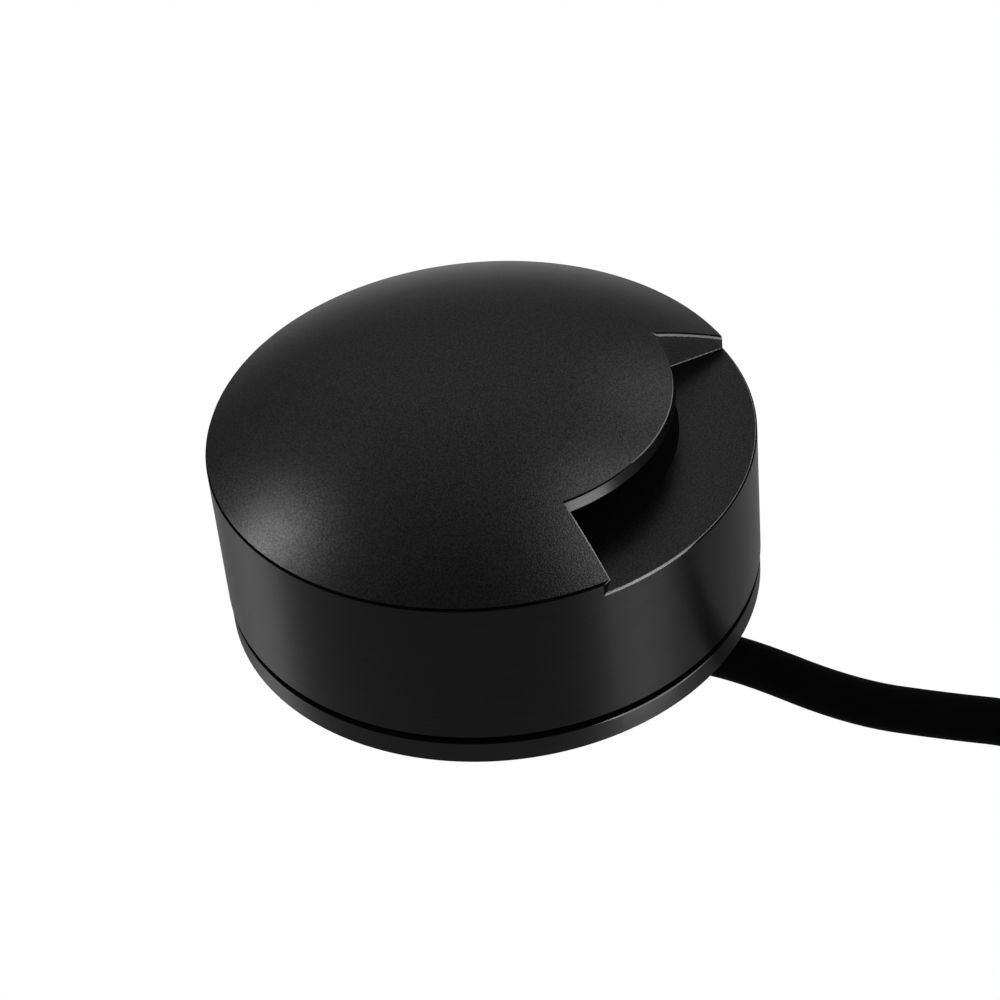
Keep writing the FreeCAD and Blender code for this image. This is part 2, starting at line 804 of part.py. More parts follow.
# Gland: a rubber bush squeezed on the cable by a hexagon nut
def make_gland():
    bush = new_body("bush_body")
    revolve(
        bush,
        "bush_turned",
        [
            ("cable_radius + seat_gap", "gland_floor"),
            ("gland_bore - seat_gap", "gland_floor"),
            ("gland_bore - seat_gap", "seal_top_z"),
            ("cable_radius + seat_gap", "seal_top_z"),
        ],
    )
    finished(bush, "cable_seal")

    sleeve = cylinder("nut_sleeve_turned", "gland_bore - seal_gap", "nut_sleeve", ("0", "0", "seal_top_z"))
    head = bind(
        doc.addObject("Part::Prism", "nut_head"), Circumradius="nut_flats / sqrt(3)", Height="nut_height"
    )
    head.Polygon = 6
    place(head, z="hub_top_z")
    bore = cylinder("nut_bore", "cable_bore", "3 * nut_top_z", ("0", "0", "-nut_top_z"))
    solid = joined("Part::Fuse", "nut_solid", [sleeve, head])
    finished(joined("Part::Cut", "nut_cut", [solid, bore]), "gland_nut")

    entry = cylinder("entry_cylinder", "cable_radius", "jacket_top_z", ("0", "0", "0"))
    finished(entry, "cable_entry")


# The share of the shorter run that an arc takes at each corner of a route, and of a lead's end run
arc_share = 0.45
lead_arc_share = 0.9


# A path of straight runs joined by tangent arcs, with the arcs' radii
def rounded_path(points, share):
    edges, radii = [], []
    start = points[0]
    for before, corner, after in zip(points, points[1:], points[2:]):
        back, ahead = (before - corner), (after - corner)
        cut = share * min(back.Length, ahead.Length)
        back.normalize()
        ahead.normalize()
        turn = math.pi - back.getAngle(ahead)
        enter, leave = corner + back * cut, corner + ahead * cut
        radius = cut / math.tan(turn / 2)
        inward = (back + ahead).normalize()
        middle = corner + inward * (radius / math.cos(turn / 2) - radius)
        edges.append(Part.LineSegment(start, enter).toShape())
        edges.append(Part.Arc(enter, middle, leave).toShape())
        radii.append(radius)
        start = leave
    edges.append(Part.LineSegment(start, points[-1]).toShape())
    return edges, radii


# A round tube along tangent edges, with its volume compared with section times length
def tube(label, edges, diameter):
    path = Part.Wire(edges)
    start = edges[0].valueAt(edges[0].FirstParameter)
    heading = edges[0].tangentAt(edges[0].FirstParameter)
    ring = Part.Wire([Part.makeCircle(diameter / 2, start, heading)])
    shape = path.makePipeShell([ring], True, False)
    ratio = shape.Volume / (math.pi * diameter**2 / 4 * path.Length)
    print(f"{label}: length {path.Length:.1f} mm, volume over section times length {ratio:.4f}")
    thing = doc.addObject("Part::Feature", label + "_tube")
    thing.Shape = shape
    return finished(thing, label)


# Leads inside the light: from the gland to the terminals, and from the driver to the lamps
def make_leads():
    low, high = size("jacket_top_z"), size("terminal_low_z")
    middle = (low + high) / 2
    for label, side in (("supply_lead_brown", 1), ("supply_lead_blue", -1)):
        inner, outer = side * size("core_offset"), side * size("terminal_reach")
        points = [
            Vector(inner, 0, low),
            Vector(inner, 0, middle),
            Vector(outer, 0, middle),
            Vector(outer, 0, high),
        ]
        tube(label, rounded_path(points, lead_arc_share)[0], size("core_diameter"))
    foot, top = size("board_top_z"), size("led_board_low_z + led_lead_diameter")
    front = -size("led_board_front")
    away = front - size("led_lead_bend")
    for label, side in (("led_lead_plus", 1), ("led_lead_minus", -1)):
        reach = side * size("led_lead_reach")
        points = [Vector(reach, front, top), Vector(reach, away, top), Vector(reach, away, foot)]
        tube(label, rounded_path(points, lead_arc_share)[0], size("led_lead_diameter"))


# The cable's free stretch: out of the middle of the back, over to the level that it lies on, and away
cable_route = [
    (0.0, 0.0, 0.0),
    (0.0, 0.0, -3.7),
    (0.3, -1.9, -6.9),
    (1.0, -5.2, -8.7),
    (1.9, -10.8, -9.0),
    (2.9, -18.5, -9.0),
    (3.2, -27.0, -9.0),
    (-0.7, -41.5, -9.0),
    (-0.1, -52.0, -9.0),
    (0.9, -60.5, -9.0),
    (-1.6, -69.8, -9.0),
    (-7.4, -77.6, -9.0),
    (-13.6, -85.2, -9.0),
    (-19.4, -93.0, -9.0),
    (-22.2, -102.2, -9.0),
    (-22.4, -108.5, -9.0),
]
coil_turns = 5


# The arc from a point with a heading to another point
def arc_from(start, heading, end):
    chord = end - start
    half = chord.Length / 2
    along = Vector(chord).normalize()
    side = heading - along * heading.dot(along)
    lean = heading.getAngle(chord)
    middle = start + chord * 0.5 + side.normalize() * (half * math.tan(lean / 2))
    return Part.Arc(start, middle, end).toShape()


# Two arcs that leave one point with its heading and reach the next with its own
def biarc(start, heading, end, last_heading):
    chord = end - start
    both = heading + last_heading
    spread = 2 * (1 - heading.dot(last_heading))
    reach = chord.dot(both)
    span = (math.sqrt(reach**2 + spread * chord.dot(chord)) - reach) / spread
    meet = (start + end + (heading - last_heading) * span) * 0.5
    first = arc_from(start, heading, meet)
    second = arc_from(end, last_heading * -1, meet)
    middle = second.valueAt((second.FirstParameter + second.LastParameter) / 2)
    return [first, Part.Arc(meet, middle, end).toShape()]


# Spare cable: two layers, spiralling in below and out again above, climbing in the half turn between them
def make_cable():
    diameter = size("cable_diameter")
    route = [Vector(*point) for point in cable_route]
    edges, radii = rounded_path(route, arc_share)
    print("cable bend radii", [round(radius, 1) for radius in radii])
    tube("cable", edges, diameter)

    pitch = diameter + size("coil_gap")
    outer = size("coil_mean_radius") + pitch * coil_turns / 4
    heading = (route[-1] - route[-2]).normalize()
    left = Vector(0, 0, 1).cross(heading)
    lead_in = route[-1] + heading * diameter
    last_angle = 2 * math.pi * coil_turns
    reversal = last_angle / 2
    slope = pitch / (2 * math.pi)
    # a spiral's heading leans inwards from its circle's, so its centre is set back by that lean
    lean = math.atan2(slope, outer)
    first_angle = math.atan2(-left.y, -left.x) - lean
    centre = lead_in - Vector(math.cos(first_angle), math.sin(first_angle), 0) * outer

    def spot(angle):
        radius = outer - slope * min(angle, last_angle - angle)
        lift = min(max((angle - reversal) / math.pi + 0.5, 0), 1) * pitch
        turned = first_angle + angle
        return centre + Vector(radius * math.cos(turned), radius * math.sin(turned), lift)

    def course(angle):
        radius = outer - slope * min(angle, last_angle - angle)
        inward = -slope if angle < reversal else slope
        turned = first_angle + angle
        out = Vector(math.cos(turned), math.sin(turned), 0)
        return (Vector(-out.y, out.x, 0) * radius + out * inward).normalize()

    quarter = math.pi / 2
    joints = [0.0] + [quarter + math.pi * i for i in range(2 * coil_turns)] + [last_angle]
    edges = [Part.LineSegment(route[-1], spot(0)).toShape()]
    for here, there in zip(joints, joints[1:]):
        edges += biarc(spot(here), course(here), spot(there), course(there))
    tail = spot(last_angle) + course(last_angle) * diameter
    edges.append(Part.LineSegment(spot(last_angle), tail).toShape())
    tube("cable_coil", edges, diameter)
    least = own_gap(edges, diameter, quarter * size("coil_mean_radius"))
    print(f"coil's least gap to itself {least:.2f} mm")
    make_tie(spot, first_angle)
    make_cores(tail, course(last_angle))


# The least gap between stretches of a tube that lie some way apart along it
def own_gap(edges, diameter, apart):
    points = []
    along = 0.0
    steps = 11
    for edge in edges:
        for point in edge.discretize(steps + 1)[:-1]:
            points.append((along, point))
            along += edge.Length / steps
    least = min(
        first.distanceToPoint(second)
        for i, (here, first) in enumerate(points)
        for there, second in points[i + 1 :]
        if there - here > apart
    )
    return least - diameter


# A strap drawn round the coil's turns three quarters of the way round, with its lock on top
def make_tie(spot, first_angle):
    where = 1.5 * math.pi
    turned = first_angle + where
    out = Vector(math.cos(turned), math.sin(turned), 0)
    along = Vector(-out.y, out.x, 0)
    full = 2 * math.pi
    lower = [spot(where), spot(where + full)]
    upper = [spot(where + 2 * full), spot(where + 4 * full)]
    corners = [lower[0], lower[1], upper[0], upper[1]]
    middle = (upper[0] + upper[1]) * 0.5
    flat = [corner - along * (corner - middle).dot(along) for corner in corners]
    ring = Part.makePolygon(flat + [flat[0]])
    inner = size("cable_bore")
    hole = Part.Face(ring.makeOffset2D(inner))
    strap = Part.Face(ring.makeOffset2D(inner + size("tie_wall"))).cut(hole)
    width = size("tie_width")
    band = strap.extrude(along * width)
    band.translate(along * (-width / 2))
    length = size("lock_length")
    lock = Part.makeBox(width, length, size("lock_height"))
    lock.translate(Vector(-width / 2, -length / 2, 0))
    lock.rotate(Vector(), Vector(0, 0, 1), math.degrees(turned))
    lock.translate(middle + Vector(0, 0, inner + size("tie_wall") / 2))
    thing = doc.addObject("Part::Feature", "tie_strap")
    thing.Shape = band.fuse(lock).removeSplitter()
    finished(thing, "coil_tie")


# The far end: two bare-ended cores in ferrules
def make_cores(start, heading):
    side = Vector(0, 0, 1).cross(heading)
    ferrules = []
    bare = size("ferrule_length")
    for label, sign in (("core_brown", 1), ("core_blue", -1)):
        root = start + side * (sign * size("core_offset"))
        core = Part.makeCylinder(size("core_diameter") / 2, size("core_length"), root, heading)
        thing = doc.addObject("Part::Feature", label + "_wire")
        thing.Shape = core
        finished(thing, label)
        tip = root + heading * size("core_length")
        ferrules.append(Part.makeCylinder(size("ferrule_diameter") / 2, bare, tip, heading))
    thing = doc.addObject("Part::Feature", "ferrule_pair")
    thing.Shape = Part.makeCompound(ferrules)
    finished(thing, "core_ferrules")


make_housing()
make_base()
make_seal_ring()
make_window()
make_bracket()
make_lamps()
make_screws("bracket_screws", bracket_screw_places, "ceiling_z - foot_wall", "ceiling_z + screw_grip", True)
make_driver()
make_screws(
    "board_screws",
    board_screw_places,
    "board_low_z - screw_head_height",
    "board_top_z + screw_grip",
    False,
)
make_gland()
make_leads()
make_cable()
doc.recompute()

# Every object and every sub-part is sound before anything is written
for thing in doc.Objects:
    if "Invalid" in thing.State or "Error" in thing.State:
        raise RuntimeError(f"{thing.Name} failed: {thing.State}")
for node in nodes:
    if node.Shape.isNull() or not node.Shape.isValid():
        raise RuntimeError(f"{node.Label} has no sound shape")

os.makedirs("parts", exist_ok=True)
for node in nodes:
    node.Shape.exportStep(f"parts/{node.Label}.step")
    print(f"{node.Label}: {len(node.Shape.Solids)} solid, {node.Shape.Volume:.1f} mm3")
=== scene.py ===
import math

import bmesh
import bpy
from mathutils import Matrix, Vector


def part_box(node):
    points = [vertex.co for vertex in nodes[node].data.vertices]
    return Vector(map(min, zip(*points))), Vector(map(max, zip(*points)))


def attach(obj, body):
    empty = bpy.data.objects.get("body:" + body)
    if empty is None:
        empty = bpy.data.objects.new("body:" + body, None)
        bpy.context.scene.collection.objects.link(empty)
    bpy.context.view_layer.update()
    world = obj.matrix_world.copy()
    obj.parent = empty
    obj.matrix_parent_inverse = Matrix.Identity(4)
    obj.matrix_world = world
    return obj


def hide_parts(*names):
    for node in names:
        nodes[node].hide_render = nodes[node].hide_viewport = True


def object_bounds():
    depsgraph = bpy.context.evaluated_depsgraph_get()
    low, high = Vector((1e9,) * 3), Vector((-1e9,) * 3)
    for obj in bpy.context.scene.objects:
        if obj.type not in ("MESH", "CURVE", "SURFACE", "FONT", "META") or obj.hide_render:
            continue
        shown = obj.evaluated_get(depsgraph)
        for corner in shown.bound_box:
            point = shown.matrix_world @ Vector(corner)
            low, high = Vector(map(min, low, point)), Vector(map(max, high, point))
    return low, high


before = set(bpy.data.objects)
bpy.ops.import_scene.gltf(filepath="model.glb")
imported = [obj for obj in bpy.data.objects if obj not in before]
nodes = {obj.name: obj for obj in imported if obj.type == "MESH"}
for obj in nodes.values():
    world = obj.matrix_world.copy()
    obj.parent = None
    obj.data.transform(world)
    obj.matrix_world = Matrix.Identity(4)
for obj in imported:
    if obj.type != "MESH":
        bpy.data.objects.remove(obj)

# A small round wall light: smooth shells, finishes, cord, studio and camera. Metres, +Z out of the wall.
cadLow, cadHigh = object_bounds()
mm = 0.001
print("frame loaded:", len(nodes), "nodes")


# Shader graphs

class Wire:  # a socket that can be added, multiplied and so on
    def __init__(self, graph, socket):
        self.graph = graph
        self.socket = socket

    def maths(self, operation, first, second):
        return self.graph.node("ShaderNodeMath", {"operation": operation}, {0: first, 1: second})

    def __add__(self, other):
        return self.maths("ADD", self, other)

    def __radd__(self, other):
        return self.maths("ADD", other, self)

    def __sub__(self, other):
        return self.maths("SUBTRACT", self, other)

    def __rsub__(self, other):
        return self.maths("SUBTRACT", other, self)

    def __mul__(self, other):
        return self.maths("MULTIPLY", self, other)

    def __rmul__(self, other):
        return self.maths("MULTIPLY", other, self)

    def __pow__(self, other):
        return self.maths("POWER", self, other)

    def __gt__(self, other):
        return self.maths("GREATER_THAN", self, other)


class Graph:  # the nodes of one material or of the world
    def __init__(self, owner):
        owner.use_nodes = True
        self.owner = owner
        self.tree = owner.node_tree
        self.tree.nodes.clear()

    # the one way to add a node: its type, its settings, then the values or links of its sockets
    def node(self, kind, settings={}, sockets={}, out=0):
        made = self.tree.nodes.new(kind)
        for name, value in settings.items():
            setattr(made, name, value)
        for key, value in sockets.items():
            if isinstance(value, Wire):
                self.tree.links.new(value.socket, made.inputs[key])
            else:
                made.inputs[key].default_value = value
        return Wire(self, made.outputs[out]) if made.outputs else made

    # object coordinates, stretched by a factor along each axis
    def place(self, stretch=(1, 1, 1)):
        spot = self.node("ShaderNodeTexCoord", out=3)
        return self.node("ShaderNodeVectorMath", {"operation": "MULTIPLY"}, {0: spot, 1: stretch})

    # noise from 0 to 1 whose spots are about `size` metres across
    def noise(self, size, detail=2.0, stretch=(1, 1, 1)):
        spot = self.place(stretch)
        return self.node("ShaderNodeTexNoise", {}, {"Vector": spot, "Scale": 1 / size, "Detail": detail})

    def blend(self, share, first, second):
        return self.node("ShaderNodeMix", {"data_type": "RGBA"}, {0: share, 6: first, 7: second}, out=2)

    def bump(self, height, depth):
        return self.node("ShaderNodeBump", {}, {"Height": height, "Distance": depth, "Strength": 1.0})

    def shade(self, sockets):
        surface = self.node("ShaderNodeBsdfPrincipled", {}, sockets)
        self.node("ShaderNodeOutputMaterial", {}, {"Surface": surface})
        return self.owner


def newFinish(name):
    return Graph(bpy.data.materials.new(name))


def grey(value):
    return (value, value, value, 1.0)


def tint(red, green, blue):
    return (red, green, blue, 1.0)


# Finishes

coatedBlack = {
    "colour": 0.016,
    "paler": 0.028,
    "edgeTint": 0.56,  # how much of a bare metal's gloss is left at a glancing angle
    "rough": 0.30,
    "roughSpread": 0.06,
    "grain": 0.20 * mm,
    "grainDepth": 0.015 * mm,
    "contrast": 6.0,  # of the speckle
    "cloud": 9 * mm,
}


# blasted and coated metal: a fine grain over slow clouds of gloss
def makeCoatedBlack(name):
    s = coatedBlack
    g = newFinish(name)
    grain = g.noise(s["grain"], 3.0)
    cloud = g.noise(s["cloud"], 2.0)
    return g.shade({
        "Base Color": g.blend(0.5 + (grain - 0.5) * s["contrast"], grey(s["colour"]), grey(s["paler"])),
        "Roughness": s["rough"] + (cloud - 0.5) * s["roughSpread"],
        "Metallic": 1.0,
        "Specular Tint": grey(s["edgeTint"]),
        "Normal": g.bump(grain, s["grainDepth"]),
    })


turnedBlack = {
    "colour": 0.009,
    "paler": 0.0155,
    "roughSpread": 0.06,
    "anisotropy": 0.93,
    "line": 0.09 * mm,
    "along": 0.012,  # how much slower the pattern changes along a line than across it
    "lineDepth": 0.010 * mm,
    "cloud": 6 * mm,
    "cloudStretch": (1.0, 1.0, 0.4),
    "glossTurn": 0.25,  # a quarter turn: the gloss is drawn out across the lines
}


# turned and anodised metal: fine lines round the axis, which draw its gloss out along the axis
def makeTurnedBlack(name, rough, shine, edgeTint):
    s = turnedBlack
    g = newFinish(name)
    lines = g.noise(s["line"], 2.0, (s["along"], s["along"], 1.0))
    cloud = g.noise(s["cloud"], 2.0, s["cloudStretch"])
    return g.shade({
        "Base Color": g.blend(lines, grey(shine * s["colour"]), grey(shine * s["paler"])),
        "Roughness": rough + (cloud - 0.5) * s["roughSpread"],
        "Metallic": 1.0,
        "Specular Tint": grey(edgeTint),
        "Anisotropic": s["anisotropy"],
        "Anisotropic Rotation": s["glossTurn"],
        "Normal": g.bump(lines, s["lineDepth"]),
    })


grainedStuff = {
    "slowness": 12,  # how many times larger the slow changes are than the grain
    "fineTone": 0.35,
    "slowTone": 0.65,
    "fineRough": 0.16,
    "slowRough": 0.10,
}


# a plain stuff with a fine grain, slow changes of tone and a little relief
def makeGrained(name, colour, paler, rough, grain, depth, metallic=0.0, specular=0.5):
    s = grainedStuff
    g = newFinish(name)
    fine = g.noise(grain, 3.0)
    slow = g.noise(s["slowness"] * grain, 2.0)
    return g.shade({
        "Base Color": g.blend(s["fineTone"] * fine + s["slowTone"] * slow, colour, paler),
        "Roughness": rough + s["fineRough"] * (fine - 0.5) + s["slowRough"] * (slow - 0.5),
        "Metallic": metallic,
        "Specular IOR Level": specular,
        "Normal": g.bump(fine, depth),
    })


clearWindow = {
    "rough": 0.06,
    "roughSpread": 0.03,
    "ripple": 3 * mm,
    "rippleDepth": 0.01 * mm,
    "ior": 1.49,
}


def makeClearWindow(name):
    s = clearWindow
    g = newFinish(name)
    ripple = g.noise(s["ripple"], 1.0)
    return g.shade({
        "Base Color": g.blend(ripple, tint(0.93, 0.95, 0.95), tint(0.97, 0.98, 0.98)),
        "Roughness": s["rough"] + s["roughSpread"] * ripple,
        "IOR": s["ior"],
        "Transmission Weight": 1.0,
        "Normal": g.bump(ripple, s["rippleDepth"]),
    })


windingCopper = {
    "wire": 0.32 * mm,
    "depth": 0.06 * mm,
    "bandScale": 0.31,  # the wave node's scale for bands a metre apart
    "distortion": 0.4,
    "rough": 0.42,
    "ridgeGloss": 0.14,
    "metallic": 0.85,
}


# turns of enamelled wire, drawn as ridges along the drum's axis
def makeWindingCopper(name):
    s = windingCopper
    g = newFinish(name)
    ridges = g.node(
        "ShaderNodeTexWave",
        {"wave_type": "BANDS", "bands_direction": "Z", "wave_profile": "SIN"},
        {
            "Vector": g.place(),
            "Scale": s["bandScale"] / s["wire"],
            "Distortion": s["distortion"],
            "Detail": 1.0,
        },
        out=1,
    )
    return g.shade({
        "Base Color": g.blend(ridges, tint(0.20, 0.06, 0.02), tint(0.62, 0.26, 0.11)),
        "Roughness": s["rough"] - s["ridgeGloss"] * ridges,
        "Metallic": s["metallic"],
        "Normal": g.bump(ridges, s["depth"]),
    })


solderMask = {
    "cell": 3.9 * mm,
    "gap": 0.09,  # half the gap between two tracks, as a share of a cell
    "lift": 0.03 * mm,
    "weave": 0.25 * mm,
    "weaveLift": 0.1,
    "trackTone": 0.8,
    "weaveTone": 0.2,
    "weaveRough": 0.12,
}


# a lacquered board: tracks a little raised and paler under the lacquer
def makeSolderMask(name, under, over, rough):
    s = solderMask
    g = newFinish(name)
    cells = g.node(
        "ShaderNodeTexVoronoi",
        {"feature": "DISTANCE_TO_EDGE", "distance": "EUCLIDEAN"},
        {"Vector": g.place(), "Scale": 1 / s["cell"]},
    )
    track = cells > s["gap"]
    weave = g.noise(s["weave"], 2.0)
    return g.shade({
        "Base Color": g.blend(s["trackTone"] * track + s["weaveTone"] * weave, under, over),
        "Roughness": rough + s["weaveRough"] * (weave - 0.5),
        "Normal": g.bump(track + s["weaveLift"] * weave, s["lift"]),
    })


jacketBlack = {
    "colour": 0.0004,
    "paler": 0.0010,
    "rough": 0.70,
    "bloomRough": 0.14,
    "grainRough": 0.10,
    "specular": 0.01,
    "grain": 0.35 * mm,
    "grainDepth": 0.012 * mm,
    "bloom": 4.9 * mm,
}


# drawn rubber: a fine grain and a matte bloom
def makeJacketBlack(name):
    s = jacketBlack
    g = newFinish(name)
    grain = g.noise(s["grain"], 3.0)
    bloom = g.noise(s["bloom"], 2.0)
    return g.shade({
        "Base Color": g.blend(bloom, grey(s["colour"]), grey(s["paler"])),
        "Roughness": s["rough"] + s["bloomRough"] * (bloom - 0.5) + s["grainRough"] * (grain - 0.5),
        "Specular IOR Level": s["specular"],
        "Normal": g.bump(grain, s["grainDepth"]),
    })


def makeSoftRubber(name, value):
    low, high = grey(value), grey(1.6 * value)
    return makeGrained(name, low, high, rough=0.68, grain=0.25 * mm, depth=0.015 * mm, specular=0.25)


def makeBareMetal(name, colour, paler, rough):
    return makeGrained(name, colour, paler, rough, grain=0.12 * mm, depth=0.004 * mm, metallic=1.0)


def makePlastic(name, colour, paler, rough):
    return makeGrained(name, colour, paler, rough, grain=0.2 * mm, depth=0.006 * mm, specular=0.4)


# broken edges painted brighter as highlights, walls, and a matt black painted where shade falls, in the
# black metal; grain and depth are in mm
def makeBlackCut(name, value, paler, rough, grain, depth, specular):
    return makeGrained(name, grey(value), grey(paler), rough, grain * mm, depth * mm, specular=specular)


# each finish's maker and what it is given
recipes = {
    "coatedBlack": (makeCoatedBlack,),
    # brighter than the coat: broken edges painted as light lines, a painted highlight
    "cutPaintedHighlight": (makeBlackCut, 0.034, 0.050, 0.36, 0.2, 0.01, 0.4),
    "milledBlack": (makeBlackCut, 0.003, 0.008, 0.55, 0.25, 0.05, 0.15),
    # nearly black and matt: painted shade in grooves, in gaps and on edges that look dark
    "paintedShadeBlack": (makeBlackCut, 0.0005, 0.0012, 0.8, 0.3, 0.02, 0.01),
    "sideBlack": (makeTurnedBlack, 0.42, 0.95, 0.80),
    # the lip's face: the turned finish made brighter, a painted sheen
    "lipPaintedSheen": (makeTurnedBlack, 0.34, 1.9, 0.10),
    "baseBlack": (makeTurnedBlack, 0.45, 1.45, 0.7),
    "sealRubber": (makeSoftRubber, 0.012),
    "gasketRubber": (makeSoftRubber, 0.024),
    "clearWindow": (makeClearWindow,),
    "darkBracket": (makeBareMetal, grey(0.03), grey(0.055), 0.45),
    "padGrey": (makeSoftRubber, 0.34),
    "lampBoard": (makeSolderMask, tint(0.70, 0.70, 0.68), tint(0.86, 0.86, 0.84), 0.35),
    "lampBody": (makePlastic, grey(0.74), grey(0.86), 0.38),
    "lampPhosphor": (makePlastic, tint(0.78, 0.50, 0.06), tint(0.90, 0.68, 0.14), 0.5),
    "screwSteel": (makeBareMetal, grey(0.42), grey(0.60), 0.32),
    "leadRed": (makePlastic, tint(0.42, 0.02, 0.015), tint(0.60, 0.035, 0.02), 0.42),
    "leadBlack": (makePlastic, grey(0.014), grey(0.026), 0.42),
    "driverGreen": (makeSolderMask, tint(0.012, 0.10, 0.045), tint(0.022, 0.18, 0.08), 0.28),
    "ferriteGrey": (makeGrained, grey(0.04), grey(0.075), 0.6, 0.15 * mm, 0.02 * mm),
    "windingCopper": (makeWindingCopper,),
    "canMetal": (makeBareMetal, tint(0.58, 0.59, 0.61), tint(0.72, 0.73, 0.75), 0.24),
    "chipBlack": (makePlastic, grey(0.015), grey(0.03), 0.5),
    "resistorDark": (makePlastic, grey(0.03), grey(0.05), 0.25),
    "terminalWhite": (makePlastic, tint(0.74, 0.74, 0.71), tint(0.84, 0.84, 0.81), 0.33),
    "nutPlated": (makeBareMetal, tint(0.50, 0.48, 0.43), tint(0.66, 0.64, 0.58), 0.28),
    "jacketBlack": (makeJacketBlack,),
    "coreBrown": (makePlastic, tint(0.12, 0.045, 0.015), tint(0.19, 0.075, 0.03), 0.4),
    "coreBlue": (makePlastic, tint(0.015, 0.09, 0.34), tint(0.03, 0.15, 0.48), 0.4),
    "tieBlack": (makePlastic, grey(0.010), grey(0.02), 0.42),
    "ferruleTin": (makeBareMetal, grey(0.52), grey(0.66), 0.3),
    "collarGrey": (makePlastic, grey(0.22), grey(0.30), 0.45),
}
finishes = {name: make(name, *values) for name, (make, *values) in recipes.items()}
print("finishes made:", len(finishes))


# Mesh tools

class Skin:  # gathers faces by their corners, and welds the corners that meet
    reach = 1e-7  # corners nearer than this are one

    def __init__(self):
        self.mesh = bmesh.new()

    def face(self, corners, finish=0):
        made = self.mesh.faces.new([self.mesh.verts.new(corner) for corner in corners])
        made.material_index = finish

    # quads between rows of points; a closed grid joins each row's end to its start
    def grid(self, rows, finish=0, closed=False, skip=None):
        for i, (row, following) in enumerate(zip(rows, rows[1:])):
            count = len(row) if closed else len(row) - 1
            for k in range(count):
                if skip and skip(i, k):
                    continue
                j = (k + 1) % len(row)
                self.face([row[k], row[j], following[j], following[k]], finish)

    def weld(self):
        bmesh.ops.remove_doubles(self.mesh, verts=self.mesh.verts, dist=self.reach)

    def done(self, name):
        self.weld()
        bmesh.ops.dissolve_degenerate(self.mesh, edges=self.mesh.edges, dist=self.reach)
        bmesh.ops.recalc_face_normals(self.mesh, faces=self.mesh.faces)
        mesh = bpy.data.meshes.new(name)
        self.mesh.to_mesh(mesh)
        self.mesh.free()
        return mesh


def addObject(name, data):
    made = bpy.data.objects.new(name, data)
    bpy.context.scene.collection.objects.link(made)
    return made


# a shown piece of the object: it rides on a body, stands for nodes and takes its finishes
def addPiece(name, skin, finishNames, body, stands, smoothBelow=38):
    mesh = skin.done(name)
    mesh.shade_smooth()
    mesh.set_sharp_from_angle(angle=math.radians(smoothBelow))
    piece = addObject(name, mesh)
    for finishName in finishNames:
        mesh.materials.append(finishes[finishName])
    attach(piece, body)
    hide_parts(*stands)
    return piece


squareCorners = ((-1, -1), (1, -1), (1, 1), (-1, 1))


# a point by its distance from the axis, its angle from -Y and its height
def polar(radius, angle, height):
    return Vector((radius * math.sin(angle), -radius * math.cos(angle), height))


def between(start, stop, count):
    return [start + (stop - start) * i / count for i in range(count + 1)]


def fullTurn(count):
    return [2 * math.pi * i / count for i in range(count)]


def turned(profile, angles):
    return [[polar(radius, angle, height) for angle in angles] for radius, height in profile]


# the outline of a ring's section
def ringSection(radii, heights):
    (inner, outer), (low, high) = radii, heights
    return [(inner, low), (outer, low), (outer, high), (inner, high), (inner, low)]


# a closed block of a ring: radii, angles and heights from low to high
def ringBlock(skin, radii, angles, heights, finish=0):
    loop = ringSection(radii, heights)
    skin.grid(turned(loop, angles), finish)
    for angle in (angles[0], angles[-1]):
        skin.face([polar(radius, angle, height) for radius, height in loop[:-1]], finish)


# a profile turned about a line parallel to Z
def turnedAbout(skin, middle, profile, count, finish=0):
    rows = [[point + middle for point in row] for row in turned(profile, fullTurn(count))]
    skin.grid(rows, finish, closed=True)


# Housing

